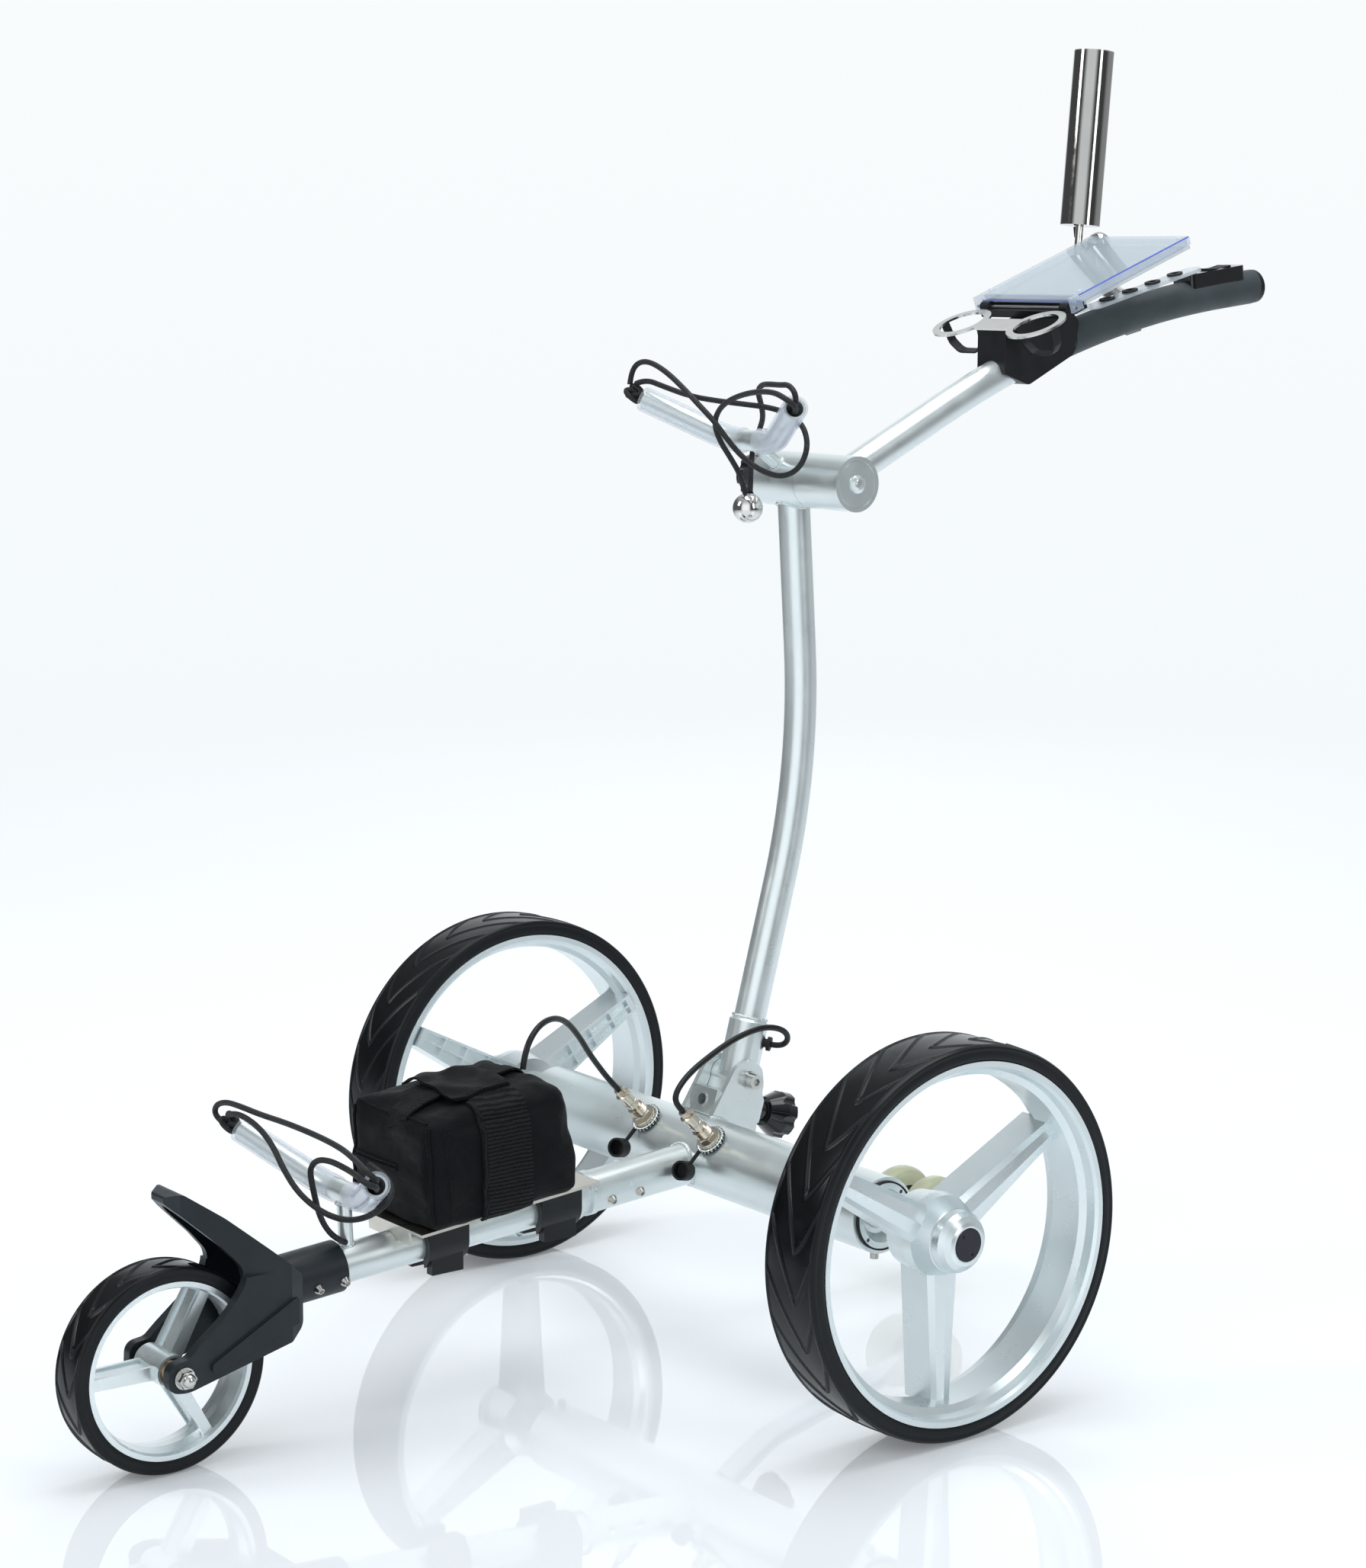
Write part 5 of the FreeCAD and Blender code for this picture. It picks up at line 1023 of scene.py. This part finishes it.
for label, side in (("left", -1), ("right", 1)):
    inward = TRAY_SLOPE @ Vector((-side * 0.62, 0.78, 0))
    starts = [bag_point(side * 52, -313, 6 + 2 * k) - inward * 0.1 for k in range(40)]
    seam_line(f"bag_seam_front_{label}", starts, inward, 1.9, nylon)
inward = TRAY_SLOPE @ Vector((0, 0.62, -0.78))
starts = [bag_point(-50 + 100 * k / 49, -310, 84) - inward * 0.1 for k in range(50)]
seam_line("bag_seam_top_front", starts, inward, 1.0, nylon)
for row, z in enumerate((44.0, 47.5)):
    starts = [bag_point(-50 + 62 * k / 39, -400, z) for k in range(40)]
    seam_line(f"bag_zip_{row}", starts, TRAY_SLOPE @ Y, 0.9, webbing)
inward = TRAY_SLOPE @ -X
for k in range(34):
    seat = on_bag(bag_point(150, -303.5, 8 + 2.2 * k), inward) - inward * 0.1 * MM
    stitch = turned(f"bag_stitch_{k}", [(-0.75, 0.1), (-0.6, 0.42), (0.6, 0.42), (0.75, 0.1)],
                    seat, TRAY_SLOPE @ Vector((0, 0.12, 1)), 6)
    add(f"bag_stitch_{k}", stitch, "frame", webbing, slot="bag_fabric").parent = bag

# ---------------------------------------------------------------- handle details

umbrella_foot, umbrella_top = mm(-49.0, 467.2, 951.3), mm(-49.0, 480.7, 1108.5)
rim = turned("umbrella_rim", [(156.6, 16.8), (157.6, 16.9), (158.0, 17.5), (157.8, 18.2), (156.8, 18.45)],
             umbrella_foot, (umbrella_top - umbrella_foot).normalized(), 64)
add("umbrella_rim", rim, "umbrella", chrome, slot="polished_tube")
strap_path = [mm(-58, 470, 950), mm(-59, 471.5, 946), mm(-60, 473, 942), mm(-58, 479, 933),
              mm(-54, 485, 926)]
add("umbrella_strap", rod("umbrella_strap", strap_path, 1.6, 10), "handle", soft_black, slot="tray_black")

# ---------------------------------------------------------------- studio

FLOOR_HALF, FLOOR_Z = 9.0, -0.0005
FADE_START, FADE_END = 1.3, 4.2
SURROUND_RADIUS = 14.0

# pale glossy floor that fades out into the surround with distance
floor_mesh = bpy.data.meshes.new("floor")
corners = [(x * FLOOR_HALF, y * FLOOR_HALF, FLOOR_Z) for x, y in ((-1, -1), (1, -1), (1, 1), (-1, 1))]
floor_mesh.from_pydata(corners, [], [(0, 1, 2, 3)])
white = Shader("floor_white", (0.78, 0.81, 0.84), 0.0, 0.025, IOR=1.5,
               Emission_Color=(0.94, 0.97, 1.0, 1.0), Emission_Strength=0.16)
white.tint(white.ramp(white.noise(0.8, 3.0), 0.4, 0.8, 0.0, 0.1), (0.76, 0.79, 0.82))
distance = white.node("VectorMath", operation="LENGTH")
fade = white.node("MixShader")
join(white.tree, (white.coords, distance.inputs[0]),
     (white.ramp(distance.outputs["Value"], FADE_START, FADE_END), fade.inputs[0]),
     (white.bsdf.outputs[0], fade.inputs[1]), (white.node("BsdfTransparent").outputs[0], fade.inputs[2]),
     (fade.outputs[0], white.tree.nodes["Material Output"].inputs["Surface"]))
floor = add("floor", floor_mesh, None, white.mat)

# white surround that only the camera sees, so that its light doesn't grey the blacks
bm = bmesh.new()
bmesh.ops.create_uvsphere(bm, u_segments=64, v_segments=32, radius=SURROUND_RADIUS)
dome_mesh = bpy.data.meshes.new("surround")
bm.to_mesh(dome_mesh)
bm.free()
surround = bpy.data.materials.new("surround")
surround.use_nodes = True
tree = surround.node_tree
tree.nodes.remove(tree.nodes["Principled BSDF"])
height = new_node(tree, "SeparateXYZ")
rise = new_node(tree, "MapRange", From_Min=-4.0, From_Max=4.0)
shade = new_node(tree, "ValToRGB")
glow = new_node(tree, "Emission")
shade.color_ramp.elements[0].color = (0.88, 0.93, 0.965, 1)
shade.color_ramp.elements[1].color = (0.965, 0.985, 0.985, 1)
join(tree, (new_node(tree, "TexCoord").outputs["Object"], height.inputs[0]),
     (height.outputs["Z"], rise.inputs["Value"]), (rise.outputs["Result"], shade.inputs[0]),
     (shade.outputs[0], glow.inputs[0]), (glow.outputs[0], tree.nodes["Material Output"].inputs["Surface"]))
dome = add("surround", smooth(dome_mesh, 180), None, surround)
dome.visible_diffuse = dome.visible_glossy = dome.visible_shadow = False

# the room that the metal mirrors: bright screens and dark gaps round the sides, soft light above
SCREENS = ((0.0, 0.12), (0.24, 0.12), (0.29, 1.25), (0.41, 1.25), (0.46, 0.10), (0.60, 0.10), (0.66, 0.48),
           (0.80, 0.48), (0.83, 1.0), (0.95, 1.0), (0.98, 0.12), (1.0, 0.12))
world = bpy.data.worlds.new("studio")
bpy.context.scene.world = world
world.use_nodes = True
tree = world.node_tree
room = new_node(tree, "TexCoord").outputs["Generated"]
around = new_node(tree, "TexGradient", gradient_type="RADIAL")
screens = new_node(tree, "ValToRGB")
above = new_node(tree, "SeparateXYZ")
overhead = new_node(tree, "MapRange", From_Min=0.35, From_Max=0.85)
both = new_node(tree, "Mix", data_type="RGBA")
both.inputs[7].default_value = (0.50, 0.53, 0.55, 1)
join(tree, (room, around.inputs[0]), (around.outputs[1], screens.inputs[0]), (room, above.inputs[0]),
     (above.outputs["Z"], overhead.inputs["Value"]), (overhead.outputs["Result"], both.inputs[0]),
     (screens.outputs[0], both.inputs[6]), (both.outputs[2], tree.nodes["Background"].inputs[0]))
stops = screens.color_ramp.elements
for where, level in SCREENS:
    stop = {0.0: stops[0], 1.0: stops[-1]}.get(where) or stops.new(where)
    stop.color = (level * 0.95, level * 0.99, level * 1.02, 1)


def lamp(name, place, aim, size, power, color=(1, 1, 1), mirrored=True):
    data = bpy.data.lights.new(name, "AREA")
    data.shape = "RECTANGLE"
    data.size, data.size_y = size
    data.energy = power
    data.color = color
    lamp_object = bpy.data.objects.new(name, data)
    lamp_object.location = place
    lamp_object.rotation_euler = (Vector(aim) - Vector(place)).to_track_quat("-Z", "Y").to_euler()
    lamp_object.visible_camera = False
    lamp_object.visible_glossy = mirrored
    bpy.context.scene.collection.objects.link(lamp_object)


lamp("key", (-1.6, -3.2, 2.6), (0, 0, 0.4), (1.2, 1.8), 42, (1.0, 1.0, 0.99))
lamp("side", (3.4, 0.6, 1.8), (0, 0, 0.5), (0.8, 2.2), 26, (0.95, 0.98, 1.0))
lamp("top", (0.2, 0.3, 3.2), (0, 0, 0.3), (2.2, 2.2), 42)
lamp("rim", (-2.6, 2.4, 1.9), (0, 0, 0.6), (0.6, 2.0), 24, (0.94, 0.98, 1.0), False)
bpy.context.scene.view_settings.view_transform = "Standard"
